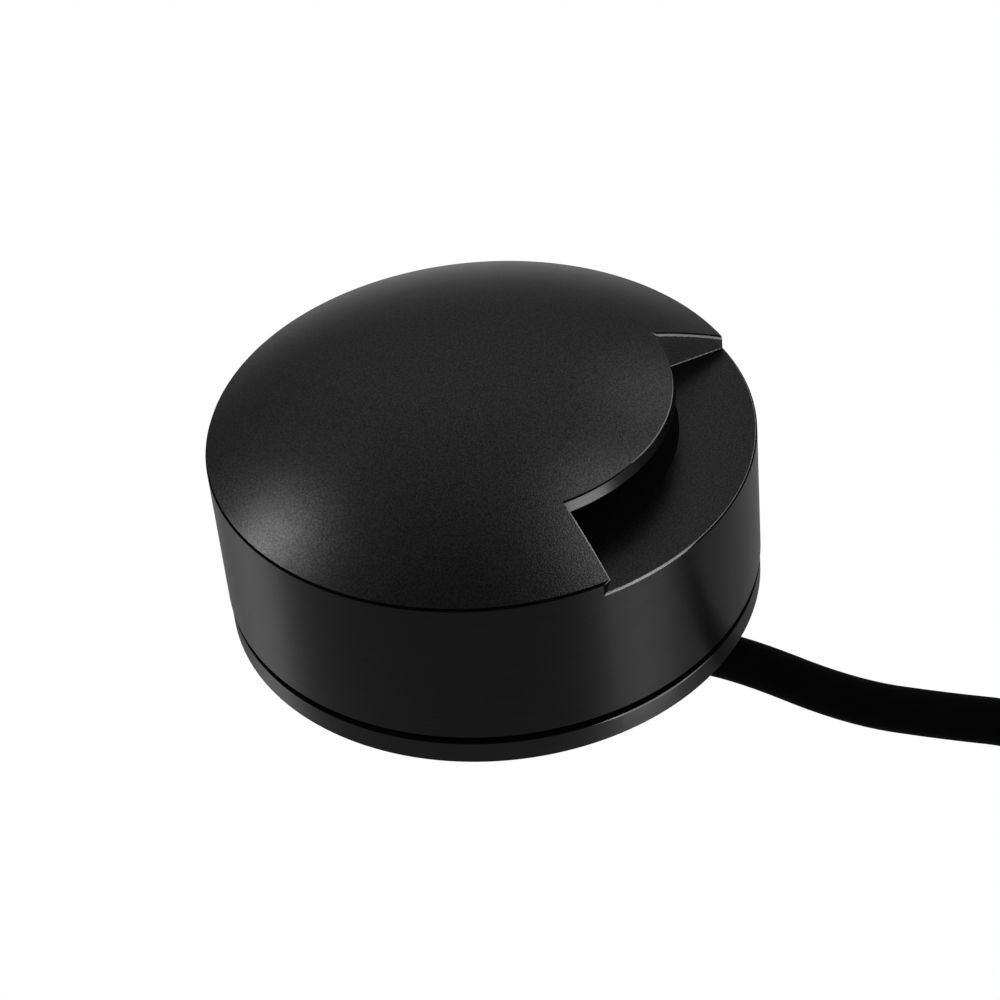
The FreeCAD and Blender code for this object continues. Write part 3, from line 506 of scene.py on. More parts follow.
housing = {
    "radius": 30 * mm,
    "skirt": 3.78 * mm,
    "rim": 22.13 * mm,
    "apex": 30.09 * mm,
    "edge": 0.28 * mm,
    # how far the dome ends short of each wall of the notch, at the lip and at the rim
    "domeGaps": ((0.13 * mm, -0.45 * mm), (-0.10 * mm, 0.17 * mm)),
    # each wall's broken edge: how far the fine line (painted shade on the far wall) and the cut below it (a
    # painted highlight) reach out and down
    "wallLines": ((0.02 * mm, 0.0), (0.03 * mm, 0.22 * mm)),
    "wallCuts": ((0.18 * mm, 0.12 * mm), (0.11 * mm, 0.49 * mm)),
    "lipRing": 20.86 * mm,  # the dome's last whole ring
    "lipTops": (20.90 * mm, 21.18 * mm),  # the lip's upper edge at each wall
    # place along the notch, from -1 to 1, and how many mm the lip's broken edge reaches out and down
    "lipReach": ((-1.0, 0.08), (-0.44, 0.03), (-0.26, 0.08), (0.1, 0.08), (0.55, 0.02)),
    "lipDrop": ((-1.0, 0.27), (-0.6, 0.22), (-0.44, 0.04), (-0.26, 0.13), (0.1, 0.13), (0.55, 0.04)),
    "lipShadeEnd": -0.44,  # the broken edge is painted with shade up to here
    "lipLineEnd": 0.55,  # and painted as a light line, a highlight, up to here
    # place along the notch and between which shares the ledge's broken edge is painted bright, as a
    # highlight
    "edgeFrom": ((-1.0, 0.5), (-0.85, 0.2), (-0.6, 0.1), (-0.5, 0.02)),
    "edgeTo": ((-1.0, 0.98), (-0.6, 0.98), (-0.54, 0.85), (-0.47, 0.32), (1.0, 0.2)),
    # beyond here the lower part of the ledge's broken edge is painted with shade
    "darkEdgeStart": -0.6,
    "rimBreak": 0.15 * mm,
    "skirtEdge": 0.25 * mm,
    "notchHalf": math.radians(44.8),
    "lipRadius": 21.38 * mm,
    "lipWall": 1.2 * mm,
    "lipBevel": 1.1 * mm,
    "ledge": 20.63 * mm,
    "ledgeEdge": 0.21 * mm,
    "rimGroove": 0.45 * mm,
    "grooveRise": 1 / 3,  # of the rim's edge, the height of the groove's bed
    "shadeRing": 0.2 * mm,  # the strip of the ledge in front of the slot, painted with shade
    "wallFoot": 0.09 * mm,  # the small slope left by the cutter between ledge and walls
    "cavityRadius": 27.3 * mm,
    "ceiling": 18.63 * mm,
    "rebate": 16.62 * mm,
    "windowHalf": math.radians(47.8),
    "pocketHead": 0.6 * mm,
    "pocketBack": 2.42 * mm,
    "innerRings": (0.06, 0.18, 0.3, 0.42, 0.54, 0.66, 0.78, 0.9, 1.0),
    "outerRings": (0.0, 0.1, 0.25, 0.4, 0.55, 0.7, 0.85, 1.0),
    "notchParts": 64,
    "restParts": 192,
    "lugRadii": (25.8 * mm, 27.5 * mm),
    "lugHeights": (7.24 * mm, 9.24 * mm),
    "lugHalf": math.radians(12),
    "lugParts": 12,
    "bossParts": 32,
    "bossReach": 19.3 * mm,
    "bossRadii": (1.25 * mm, 2.6 * mm),
    "bossHeights": (15.23 * mm, 18.73 * mm),
    "fixings": 3,
}
domeRise = housing["apex"] - housing["rim"]
domeSphere = (housing["radius"] ** 2 + domeRise**2) / (2 * domeRise)


def domeHeight(radius):
    return housing["apex"] - domeSphere + math.sqrt(domeSphere**2 - radius**2)


lipFoot = domeHeight(housing["lipRadius"]) - housing["lipBevel"]
slotTop = domeHeight(housing["lipRadius"]) - housing["lipWall"]
pocketTop = slotTop + housing["pocketHead"]
# of these finishes the third is a painted sheen, the fourth brightens broken edges as a painted highlight
# and the last is painted shade
grained, lined, paintedSheen, cut, milled, paintedShade = range(6)  # the housing's finishes


# a value part of the way along the notch, from its one wall (-1) to the other (1)
def alongNotch(pair, share):
    return pair[0] + (pair[1] - pair[0]) * (share + 1) / 2


# a value between listed places
def stepped(steps, place):
    for (start, low), (stop, high) in zip(steps, steps[1:]):
        if place <= stop:
            return low + (high - low) * (place - start) / (stop - start)
    return steps[-1][1]


# the angle from a wall of the notch, on its side -1 or 1, to the dome's end
def domeGap(side, radius):
    atLip, atRim = housing["domeGaps"][0 if side < 0 else 1]
    outwards = (radius - housing["lipRing"]) / (housing["radius"] - housing["lipRing"])
    return (atLip + (atRim - atLip) * outwards) / radius


# angles outside the notch, from one wall round the back to the other, a gap away from each
def restAngles(farGap, nearGap):
    half = housing["notchHalf"]
    return between(half + farGap, 2 * math.pi - half - nearGap, housing["restParts"])


def domeAngles(radius):
    return restAngles(domeGap(1, radius), domeGap(-1, radius))


def buildHousing():
    s = housing
    skin = Skin()
    edge, lip, outside, half = s["edge"], s["lipRadius"], s["radius"], s["notchHalf"]
    shares = between(-1, 1, s["notchParts"])
    notchAngles = [share * half for share in shares]
    ring = s["lipRing"]
    rimTop = outside - s["rimBreak"]
    rimFoot = s["rim"] - edge
    sideGap = edge / outside
    outerAngles = restAngles(sideGap, sideGap)

    # dome, as whole rings up to the lip and as open rings beyond it
    ringAngles = [share * (half + domeGap(share, ring)) for share in shares]
    wholeRing = ringAngles + domeAngles(ring)[1:-1]
    innerRadii = [ring * share for share in s["innerRings"]]
    rings = [[polar(r, a, domeHeight(r)) for a in wholeRing] for r in innerRadii]
    skin.grid(rings, grained, closed=True)
    pole = Vector((0, 0, s["apex"]))
    for k, point in enumerate(rings[0]):
        skin.face([pole, point, rings[0][(k + 1) % len(rings[0])]], grained)
    outerRadii = [ring + (rimTop - ring) * share for share in s["outerRings"]]
    skin.grid([[polar(r, a, domeHeight(r)) for a in domeAngles(r)] for r in outerRadii], grained)

    # the lip: the dome's end, its broken edge, painted with shade and then as a light line along the notch,
    # and the leaning face with a painted sheen; then a fine groove round the rim, painted with shade
    lipRows = [[polar(ring, angle, domeHeight(ring)) for angle in ringAngles], [], [], []]
    for share, angle in zip(shares, ringAngles):
        top = alongNotch(s["lipTops"], share)
        under = top + stepped(s["lipReach"], share) * mm
        lipRows[1].append(polar(top, angle, domeHeight(top)))
        lipRows[2].append(polar(under, angle, domeHeight(top) - stepped(s["lipDrop"], share) * mm))
        lipRows[3].append(polar(lip, share * half, lipFoot))
    skin.grid(lipRows[:2], grained)
    # along the notch the lip's broken edge is painted: shade first, then a painted highlight line, then the
    # dome's own finish
    shade, line = s["lipShadeEnd"], s["lipLineEnd"]
    skin.grid(lipRows[1:3], paintedShade, skip=lambda row, column: shares[column] > shade)
    skin.grid(lipRows[1:3], cut, skip=lambda row, column: not shade < shares[column] <= line)
    skin.grid(lipRows[1:3], grained, skip=lambda row, column: shares[column] <= line)
    # the leaning face takes a brighter copy of the turned finish: a painted sheen
    skin.grid(lipRows[2:], paintedSheen)
    rimRows = [
        [polar(rimTop, angle, domeHeight(rimTop)) for angle in domeAngles(rimTop)],
        [polar(outside - s["rimGroove"], angle, rimFoot + edge * s["grooveRise"]) for angle in outerAngles],
        [polar(outside, angle, rimFoot) for angle in outerAngles],
    ]
    skin.grid(rimRows, paintedShade)
    for end in (0, -1):
        skin.face([row[end] for row in rimRows], paintedShade)

    # side and ledge
    ledgeFoot = s["ledge"] - s["ledgeEdge"]
    ledgeRow = outside - s["ledgeEdge"]
    cornerFoot = s["ledge"] - (rimTop - ledgeRow)
    skirtFoot = s["skirt"] + s["skirtEdge"]
    skin.grid(turned([(outside, rimFoot), (outside, ledgeFoot)], outerAngles), lined)
    sideAngles = notchAngles + outerAngles
    skin.grid(turned([(outside, ledgeFoot), (outside, skirtFoot)], sideAngles), lined, closed=True)
    # the ledge's broken edge: a band painted bright as a highlight, placed along the notch, with painted
    # shade below it beyond a point
    edgeRows = turned([(ledgeRow, s["ledge"]), (outside, ledgeFoot)], notchAngles)
    starts = [top.lerp(low, stepped(s["edgeFrom"], share)) for top, low, share in zip(*edgeRows, shares)]
    stops = [top.lerp(low, stepped(s["edgeTo"], share)) for top, low, share in zip(*edgeRows, shares)]
    skin.grid([edgeRows[0], starts], grained)
    skin.grid([starts, stops], cut)
    skin.grid([stops, edgeRows[1]], lined, skip=lambda row, column: shares[column] > s["darkEdgeStart"])
    skin.grid([stops, edgeRows[1]], paintedShade, skip=lambda row, column: shares[column] <= s["darkEdgeStart"])
    slotMiddle = (s["rebate"] + lip) / 2
    foot = s["wallFoot"]
    ledgeRows = [(s["rebate"], 0), (slotMiddle, foot), (lip, foot), (lip + s["shadeRing"], foot)]
    shadeRows = len(ledgeRows)
    ledgeRows += [((lip + outside) / 2, foot), (ledgeRow - 2 * foot, foot), (ledgeRow, 0)]
    ledge = [[polar(r, share * (half - wide / r), s["ledge"]) for share in shares] for r, wide in ledgeRows]
    # the strip in front of the slot is painted with shade
    skin.grid(ledge[:shadeRows], paintedShade)
    skin.grid(ledge[shadeRows - 1 :], grained)
    slotProfile = [(lip, lipFoot), (lip, slotTop), (slotMiddle, slotTop), (s["rebate"], slotTop)]
    skin.grid(turned(slotProfile, notchAngles), grained)

    # the notch's walls: the broken edge on top, with a painted highlight under a painted shade line on the
    # far wall, the outer corner with painted shade and highlights, the slope at the foot and the wall itself
    for side, end, fine, deep in zip((-1, 1), (0, -1), s["wallLines"], s["wallCuts"]):
        wall = side * half
        corner = side * (half + sideGap)
        domeRow, edgeRow, under = [], [lipRows[1][end]], [lipRows[2][end]]
        for r in outerRadii:
            ends = half + domeGap(side, r)
            domeRow.append(polar(r, side * ends, domeHeight(r)))
            if r > ring:
                edgeRow.append(polar(r, side * (ends - fine[0] / r), domeHeight(r) - fine[1]))
                under.append(polar(r, side * (ends - deep[0] / r), domeHeight(r) - deep[1]))
        skin.grid([domeRow, edgeRow], grained if side < 0 else paintedShade)
        skin.grid([edgeRow, under], cut)
        high, low = polar(outside, corner, rimFoot), polar(outside, corner, ledgeFoot)
        inner = polar(rimTop, wall, cornerFoot)
        skin.face([domeRow[-1], edgeRow[-1], under[-1], high], cut)
        skin.face([under[-1], high, low, inner], paintedShade)
        skin.face([inner, low, polar(outside, wall, ledgeFoot)], cut)
        onLedge = [polar(r, side * (half - wide / r), s["ledge"]) for r, wide in ledgeRows]
        onWall = [polar(r, wall, s["ledge"] + wide) for r, wide in ledgeRows]
        skin.grid([onLedge, onWall], grained)
        outline = onWall + [inner] + list(reversed(under))
        outline += [polar(r, wall, height) for r, height in slotProfile]
        skin.face(outline, milled)

    # lamp pocket behind the slot
    arcAngles = [-s["windowHalf"]] + notchAngles + [s["windowHalf"]]
    levels = [s["ceiling"], s["ledge"], slotTop, pocketTop]
    openColumns = range(1, len(arcAngles) - 2)
    arcRows = turned([(s["rebate"], level) for level in levels], arcAngles)
    skin.grid(arcRows, grained, skip=lambda row, column: row == 1 and column in openColumns)
    pocketHalf = s["rebate"] * math.sin(s["windowHalf"])
    rear = [Vector((x, -s["pocketBack"], 0)) for x in (pocketHalf, 0, -pocketHalf)]
    backRows = []
    for row, level in zip(arcRows, levels):
        lift = Vector((0, 0, level))
        backRows.append([row[-1]] + [point + lift for point in rear] + [row[0]])
    skin.grid(backRows, grained)
    skin.face(arcRows[-1] + backRows[-1][1:-1], grained)

    # cavity: a ceiling in two halves round the pocket, the wall and the skirt's foot
    cavity = [polar(s["cavityRadius"], a, s["ceiling"]) for a in sideAngles]
    front, back = shares.index(0), sideAngles.index(min(sideAngles, key=lambda a: abs(a - math.pi)))
    arcFront = front + 1
    rearRight, rearMiddle, rearLeft = backRows[0][1:4]
    rightHalf = cavity[front : back + 1] + [rearMiddle, rearRight] + list(reversed(arcRows[0][arcFront:]))
    leftHalf = cavity[back:] + cavity[: front + 1] + arcRows[0][arcFront::-1] + [rearLeft, rearMiddle]
    skin.face(rightHalf, grained)
    skin.face(leftHalf, grained)
    inside = [
        (s["cavityRadius"], s["ceiling"]),
        (s["cavityRadius"], s["skirt"]),
        (outside - s["skirtEdge"], s["skirt"]),
        (outside, skirtFoot),
    ]
    skin.grid(turned(inside, sideAngles), lined, closed=True)

    # bayonet lugs and board bosses
    boss = ringSection(s["bossRadii"], s["bossHeights"])
    for turn in fullTurn(s["fixings"]):
        spread = between(turn - s["lugHalf"], turn + s["lugHalf"], s["lugParts"])
        ringBlock(skin, s["lugRadii"], spread, s["lugHeights"], lined)
        turnedAbout(skin, polar(s["bossReach"], math.pi + turn, 0), boss, s["bossParts"], lined)
    coats = ["coatedBlack", "sideBlack", "lipPaintedSheen", "cutPaintedHighlight", "milledBlack", "paintedShadeBlack"]
    shell = addPiece("housingShell", skin, coats, "head", ["housing"], smoothBelow=15)
    print("housing:", len(shell.data.polygons), "faces")


buildHousing()


# Wall base

base = {
    "radius": 29.9 * mm,
    "height": 2.62 * mm,
    "ringTop": 3.0 * mm,
    "edge": 0.3 * mm,
    "ringEdge": 0.1 * mm,
    # degrees round the ring and how many mm its upper edge is broken wider there, and painted bright as a
    # highlight
    "brightRing": ((-360, 0.0), (-49, 0.0), (-40, 0.2), (-32, 0.2), (-18, 0.0), (0, 0.0)),
    "shoulder": 27.0 * mm,
    "grooveRadius": 25.43 * mm,
    "grooveLow": 4.34 * mm,
    "grooveTop": 6.34 * mm,
    "land": 7.14 * mm,
    "spigot": 25.5 * mm,
    "spigotInner": 23.3 * mm,
    "spigotTop": 11.24 * mm,
    "hub": 7.2 * mm,
    "hubTop": 5.2 * mm,
    "glandBore": 4.6 * mm,
    "glandFloor": 1.6 * mm,
    "cableBore": 2.9 * mm,
    "mouth": 4.4 * mm,
    "mouthDepth": 1.2 * mm,
    "holeReach": 16.5 * mm,
    "holeRadius": 2.2 * mm,
    "holeEdge": 0.35 * mm,
    "holeParts": 40,
    "lugLow": 9.44 * mm,
    "lugHalf": math.radians(13),
    "lugParts": 12,
    "stopHalf": math.radians(2),
    "stopParts": 2,
    "stopTurns": (math.radians(-15), math.radians(45)),
    "fixings": 3,
    "parts": 180,
    "root": 0.1 * mm,  # how far the lugs reach into the spigot
}
baseCoat, baseShade, baseHighlight = range(3)  # the base's finishes


# cuts a tool's mesh out of a piece's mesh
def cutOut(mesh, tool):
    holders = [addObject("cut" + str(i), item) for i, item in enumerate((mesh, tool))]
    change = holders[0].modifiers.new("cut", "BOOLEAN")
    change.operation = "DIFFERENCE"
    change.solver = "EXACT"
    change.object = holders[1]
    ready = holders[0].evaluated_get(bpy.context.evaluated_depsgraph_get())
    result = bpy.data.meshes.new_from_object(ready)
    for holder in holders:
        bpy.data.objects.remove(holder)
    return result


def buildBase():
    s = base
    edge, outside = s["edge"], s["radius"]
    profile = [
        (s["mouth"], 0.0),
        (outside - edge, 0.0),
        (outside, edge),
        (outside, s["ringTop"] - s["ringEdge"]),
        (outside - s["ringEdge"], s["ringTop"]),
        (s["shoulder"], s["ringTop"]),
        (s["shoulder"], s["grooveLow"]),
        (s["grooveRadius"], s["grooveLow"]),
        (s["grooveRadius"], s["grooveTop"]),
        (s["shoulder"], s["grooveTop"]),
        (s["shoulder"], s["land"]),
        (s["spigot"], s["land"]),
        (s["spigot"], s["spigotTop"]),
        (s["spigotInner"], s["spigotTop"]),
        (s["spigotInner"], s["height"]),
        (s["hub"], s["height"]),
        (s["hub"], s["hubTop"]),
        (s["glandBore"], s["hubTop"]),
        (s["glandBore"], s["glandFloor"]),
        (s["cableBore"], s["glandFloor"]),
        (s["cableBore"], s["mouthDepth"]),
        (s["mouth"], 0.0),
    ]
    full = fullTurn(s["parts"])
    skin = Skin()
    ringRows = turned(profile, full)
    edgeLow, edgeHigh, wallTop = 3, 4, 6  # rows of the ring's upper edge, and where the gap's painted shade ends
    wider = [stepped(s["brightRing"], math.degrees(angle) - 360) * mm for angle in full]
    brightTop = []
    for low, high, drop in zip(ringRows[edgeLow], ringRows[edgeHigh], wider):
        low.z -= drop
        brightTop.append(high.lerp(low, s["ringEdge"] / (s["ringEdge"] + drop)))
    narrow = [max(pair) == 0 for pair in zip(wider, wider[1:] + wider[:1])]
    skin.grid(ringRows[:edgeHigh], baseCoat, closed=True)
    # a wider stretch of the upper edge is painted bright as a highlight
    skin.grid([ringRows[edgeLow], brightTop], baseHighlight, closed=True, skip=lambda row, column: narrow[column])
    # the gap between ring and housing is painted with shade
    skin.grid([brightTop] + ringRows[edgeHigh : wallTop + 1], baseShade, closed=True)
    skin.grid(ringRows[wallTop:], baseCoat, closed=True)
    mesh = skin.done("baseRing")

    # screw holes, each with a broken edge at the back
    tool = Skin()
    overshoot = s["height"]
    wide = s["holeRadius"] + s["holeEdge"]
    hole = [(0.0, -overshoot), (wide, -overshoot), (wide, 0.0), (s["holeRadius"], s["holeEdge"])]
    hole += [(s["holeRadius"], 2 * overshoot), (0.0, 2 * overshoot)]
    for side in (-1, 1):
        turnedAbout(tool, Vector((side * s["holeReach"], 0, 0)), hole, s["holeParts"])
    mesh = cutOut(mesh, tool.done("holeTool"))

    # bayonet lugs and their stops stand on the spigot
    whole = Skin()
    whole.mesh.from_mesh(mesh)
    lugRadii = (s["spigot"] - s["root"], s["shoulder"])
    for turn in fullTurn(s["fixings"]):
        spread = between(turn - s["lugHalf"], turn + s["lugHalf"], s["lugParts"])
        ringBlock(whole, lugRadii, spread, (s["lugLow"], s["spigotTop"]))
        for stop in s["stopTurns"]:
            spread = between(turn + stop - s["stopHalf"], turn + stop + s["stopHalf"], s["stopParts"])
            ringBlock(whole, lugRadii, spread, (s["land"], s["spigotTop"]))
    coats = ["baseBlack", "paintedShadeBlack", "cutPaintedHighlight"]
    ring = addPiece("baseRing", whole, coats, "base", ["base_plate"], smoothBelow=20)
    print("wall base:", len(ring.data.polygons), "faces")


buildBase()


# Window, gasket and lamps behind the slot

window = {
    "radii": (14.62 * mm, 16.22 * mm),
    "gasketRadii": (16.24 * mm, 16.6 * mm),
    "foot": 19.23 * mm,
    "headGap": 0.1 * mm,
    "parts": 48,
    "endParts": 4,
    "edge": 0.15 * mm,
    "edgeParts": 2,
    "sharp": 1.0,  # edges with a larger angle than this, in radians, are rounded
}


def buildWindow():
    s = window
    half = housing["windowHalf"]
    top = pocketTop - s["headGap"]
    skin = Skin()
    ringBlock(skin, s["radii"], between(-half, half, s["parts"]), (s["foot"], top))
    skin.weld()
    edges = [e for e in skin.mesh.edges if len(e.link_faces) == 2 and e.calc_face_angle() > s["sharp"]]
    bmesh.ops.bevel(
        skin.mesh, geom=edges, offset=s["edge"], segments=s["edgeParts"], profile=0.5, affect="EDGES",
        clamp_overlap=True,
    )
    pane = addPiece("windowPane", skin, ["clearWindow"], "head", ["light_window"])

    notch = housing["notchHalf"]
    rim = Skin()
    for heights in ((s["foot"], housing["ledge"]), (slotTop, top)):
        ringBlock(rim, s["gasketRadii"], between(-half, half, s["parts"]), heights)
    for side in (-1, 1):
        spread = between(side * notch, side * half, s["endParts"])
        ringBlock(rim, s["gasketRadii"], spread, (housing["ledge"], slotTop))
    addPiece("gasketFrame", rim, ["gasketRubber"], "head", ["window_gasket"])
    print("window:", len(pane.data.polygons), "faces")


buildWindow()

lamps = {"width": 3.5 * mm, "pitch": 5.2 * mm, "rim": 0.3 * mm, "dish": 0.25 * mm}


# each lamp is a white body with a dished front that holds the phosphor
def buildLamps():
    s = lamps
    low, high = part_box("led_packages")
    width, pitch = s["width"], s["pitch"]
    skin = Skin()
    for i in (-1, 0, 1):
        left, right = i * pitch - width / 2, i * pitch + width / 2
        loops = []
        for inset, y in ((0, high.y), (0, low.y), (s["rim"], low.y), (2 * s["rim"], low.y + s["dish"])):
            loops.append([
                Vector((left + inset, y, low.z + inset)),
                Vector((right - inset, y, low.z + inset)),
                Vector((right - inset, y, high.z - inset)),
                Vector((left + inset, y, high.z - inset)),
            ])
        skin.grid(loops, 0, closed=True)
        skin.face(loops[0], 0)
        skin.face(loops[-1], 1)
    coats = ["lampBody", "lampPhosphor"]
    addPiece("lampRow", skin, coats, "head", ["led_packages"], smoothBelow=20)


buildLamps()
print("lamps made")


# Cord: the free stretch, the coil, its tie and the bare end

cord = {
    "diameter": 5.2 * mm,
    "meanRadius": 27.6 * mm,
    "gap": 0.8 * mm,
    "turns": 5,
    "pointsPerTurn": 24,
    "smoothness": 8,
    "tieTurn": 1.5 * math.pi,
}
cordRoute = [
    (0.0000, 0.0000, 0.0000),
    (0.0000, 0.0000, -0.0037),
    (0.0003, -0.0019, -0.0069),
    (0.0010, -0.0052, -0.0087),
    (0.0019, -0.0108, -0.0090),
    (0.0029, -0.0185, -0.0090),
    (0.0032, -0.0270, -0.0090),
    (-0.0007, -0.0415, -0.0090),
    (-0.0001, -0.0520, -0.0090),
    (0.0009, -0.0605, -0.0090),
    (-0.0016, -0.0698, -0.0090),
    (-0.0074, -0.0776, -0.0090),
    (-0.0136, -0.0852, -0.0090),
    (-0.0194, -0.0930, -0.0090),
    (-0.0222, -0.1022, -0.0090),
    (-0.0224, -0.1085, -0.0090),
]


class Coil:  # a spiral in, a climb and a spiral out, which starts where the route ends
    def __init__(self):
        s = cord
        end, before = Vector(cordRoute[-1]), Vector(cordRoute[-2])
        heading = (end - before).normalized()
        left = Vector((0, 0, 1)).cross(heading)
        self.pitch = s["diameter"] + s["gap"]
        self.slope = self.pitch / (2 * math.pi)
        self.outer = s["meanRadius"] + self.pitch * s["turns"] / 4
        self.last = 2 * math.pi * s["turns"]
        self.first = math.atan2(-left.y, -left.x) - math.atan2(self.slope, self.outer)
        self.centre = end + heading * s["diameter"] - self.out(0) * self.outer

    def out(self, angle):
        return Vector((math.cos(self.first + angle), math.sin(self.first + angle), 0))

    def spot(self, angle, swell=1.0):
        radius = self.outer - self.slope * min(angle, self.last - angle)
        climb = (angle - self.last / 2) / math.pi + 0.5
        lift = Vector((0, 0, self.pitch * min(max(climb, 0), 1)))
        return self.centre + self.out(angle) * (radius * swell) + lift

    def course(self, angle):
        step = 1e-4
        return (self.spot(angle) - self.spot(angle - step)).normalized()


coil = Coil()


def buildCord():
    s = cord
    step = 2 * math.pi / s["pointsPerTurn"]
    swell = 4 / (3 + math.cos(step))  # the spline runs inside its points by this much
    count = s["turns"] * s["pointsPerTurn"]
    points = [Vector(point) for point in cordRoute]
    points += [coil.spot(step * (i + 0.5), swell) for i in range(count)]
    tail = coil.spot(coil.last) + coil.course(coil.last) * s["diameter"]
    points += [coil.spot(coil.last), tail]
    curve = bpy.data.curves.new("cordJacket", "CURVE")
    curve.dimensions = "3D"
    spline = curve.splines.new("NURBS")
    spline.points.add(len(points) - 1)
    for target, point in zip(spline.points, points):
        target.co = (*point, 1.0)
    spline.order_u = 3
    spline.use_endpoint_u = True
    spline.resolution_u = s["smoothness"]
    curve.bevel_depth = s["diameter"] / 2
    curve.bevel_resolution = s["smoothness"]
    curve.use_fill_caps = True
    curve.materials.append(finishes["jacketBlack"])
    jacket = addObject("cordJacket", curve)
    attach(jacket, "base")
    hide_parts("cable", "cable_coil")
    print("cord:", len(points), "points")
    return jacket, tail


tie = {
    "wall": 0.9 * mm,
    "width": 3.6 * mm,
    "play": 0.3 * mm,
    "parts": 120,
    "edge": 0.15 * mm,
    "lock": (4.2 * mm, 5.0 * mm, 1.9 * mm),
    "lockEdge": 0.35 * mm,
    "tail": 6.0 * mm,
    "tailShare": 0.9,  # of the strap's width
    "ribStep": 0.8 * mm,
    "ribDepth": 0.15 * mm,
}


# a strap round the bundle: the hull of round corners, with a lock on top and a short ribbed tail
def buildTie():
    s = tie
    out = coil.out(cord["tieTurn"])
    along = Vector((-out.y, out.x, 0))
    up = Vector((0, 0, 1))
    corners = [coil.spot(cord["tieTurn"] + 2 * math.pi * lap) for lap in (0, 1, 2, 4)]
    middle = (corners[2] + corners[3]) / 2
    flat = [corner - along * (corner - middle).dot(along) for corner in corners]
    inner = cord["diameter"] / 2 + s["play"]
    half = s["width"] / 2
    section = [
        (inner, -half),
        (inner + s["wall"] - s["edge"], -half),
        (inner + s["wall"], -half + s["edge"]),
        (inner + s["wall"], half - s["edge"]),
        (inner + s["wall"] - s["edge"], half),
        (inner, half),
    ]
    rows = []
    for turn in fullTurn(s["parts"]):
        push = out * math.cos(turn) + up * math.sin(turn)
        corner = max(flat, key=lambda point: point.dot(push))
        rows.append([corner + push * reach + along * shift for reach, shift in section])
    skin = Skin()
    skin.grid(rows + rows[:1], closed=True)

    # the lock: a block with softened edges, the tail runs on from it along the bundle's top
    long, wide, tall = s["lock"]
    seat = middle + up * (inner + s["wall"] / 2)
    loops = []
    for inset, height in ((0, 0), (0, tall - s["lockEdge"]), (s["lockEdge"], tall)):
        loops.append([
            seat + out * (x * (wide / 2 - inset)) + along * (y * (long / 2 - inset)) + up * height
            for x, y in squareCorners
        ])
    skin.grid(loops, closed=True)
    skin.face(loops[0])
    skin.face(loops[-1])
    ribs = int(s["tail"] / s["ribStep"])
    slim = along * (half * s["tailShare"])
    rows = []
    for i in range(2 * ribs + 1):
        reach = wide / 2 - s["edge"] + s["tail"] * i / (2 * ribs)
        rise = up * (s["wall"] - (s["ribDepth"] if i % 2 else 0))
        start = seat + out * reach + up * (s["wall"] / 2)
        rows.append([start - slim, start + slim, start + slim + rise, start - slim + rise])
    skin.grid(rows, closed=True)
    skin.face(rows[0])
    skin.face(rows[-1])
    return addPiece("coilStrap", skin, ["tieBlack"], "base", ["coil_tie"], smoothBelow=25)


cores = {
    "offset": 1.1 * mm,
    "parts": 28,
    "corner": 0.86,  # how far a crimp's corners stand out, as a share of a true square's
    # distance along and radius, both in mm, and how square the section is there
    "core": ((0.0, 0.75, 0), (13.88, 0.75, 0), (14.0, 0.63, 0)),
    "collar": ((0.0, 0.78, 0), (1.47, 0.78, 0), (2.1, 0.6325, 0)),
    "crimpStart": ((1.89, 0.55, 0), (2.4, 0.55, 0.2), (2.7, 0.55, 1)),
    "crimpEnd": ((5.5, 0.55, 1), (5.8, 0.55, 0.3), (6.0, 0.506, 0)),
}


# the two cores and their crimped ferrules, with a collar each
def buildCores(tail):
    s = cores
    heading = coil.course(coil.last)
    side = Vector((0, 0, 1)).cross(heading)
    across = heading.cross(side)

    def rod(skin, root, profile, finish=0):
        rows = []
        for reach, size, square in profile:
            row = []
            for a in fullTurn(s["parts"]):
                push = side * math.cos(a) + across * math.sin(a)
                flat = s["corner"] / max(abs(math.cos(a)), abs(math.sin(a)))
                stretch = size * mm * (1 - square + square * flat)
                row.append(root + heading * (reach * mm) + push * stretch)
            rows.append(row)
        skin.grid(rows, finish, closed=True)
        skin.face(rows[0], finish)
        skin.face(rows[-1], finish)

    made = []
    ends = Skin()
    for name, sign in (("Brown", 1), ("Blue", -1)):
        root = tail + side * (sign * s["offset"])
        skin = Skin()
        rod(skin, root, s["core"])
        slot = "core_" + name.lower()
        made.append(addPiece("core" + name, skin, ["core" + name], "base", [slot]))
        tip = root + heading * (s["core"][-1][0] * mm)
        rod(ends, tip, s["collar"], 1)
        rod(ends, tip, s["crimpStart"] + s["crimpEnd"], 0)
    coats = ["ferruleTin", "collarGrey"]
    made.append(addPiece("coreFerrules", ends, coats, "base", ["core_ferrules"]))
    return made


jacket, cordTail = buildCord()
strap = buildTie()
coreEnds = buildCores(cordTail)
print("cord, tie and cores made")


# Finishes of the nodes that stay as they are

nodeFinishes = {
    "seal_ring": "sealRubber",
    "cable_seal": "sealRubber",
    "gland_nut": "nutPlated",
    "cable_entry": "jacketBlack",
    "supply_lead_brown": "coreBrown",
    "supply_lead_blue": "coreBlue",
    "led_bracket": "darkBracket",
    "thermal_pad": "padGrey",
    "led_board": "lampBoard",
    "bracket_screws": "screwSteel",
    "led_lead_plus": "leadRed",
    "led_lead_minus": "leadBlack",
    "driver_board": "driverGreen",
    "board_screws": "screwSteel",
    "inductor_core": "ferriteGrey",
    "inductor_winding": "windingCopper",
    "smoothing_capacitors": "canMetal",
    "bridge_rectifier": "chipBlack",
    "driver_chip": "chipBlack",
    "chip_resistors": "resistorDark",
    "lead_terminals": "terminalWhite",
}
for nodeName, finishName in nodeFinishes.items():
    mesh = nodes[nodeName].data
    mesh.materials.clear()
    mesh.materials.append(finishes[finishName])
print("nodes painted:", len(nodeFinishes))


# Studio: a white floor, soft lamps, a dim room and the camera

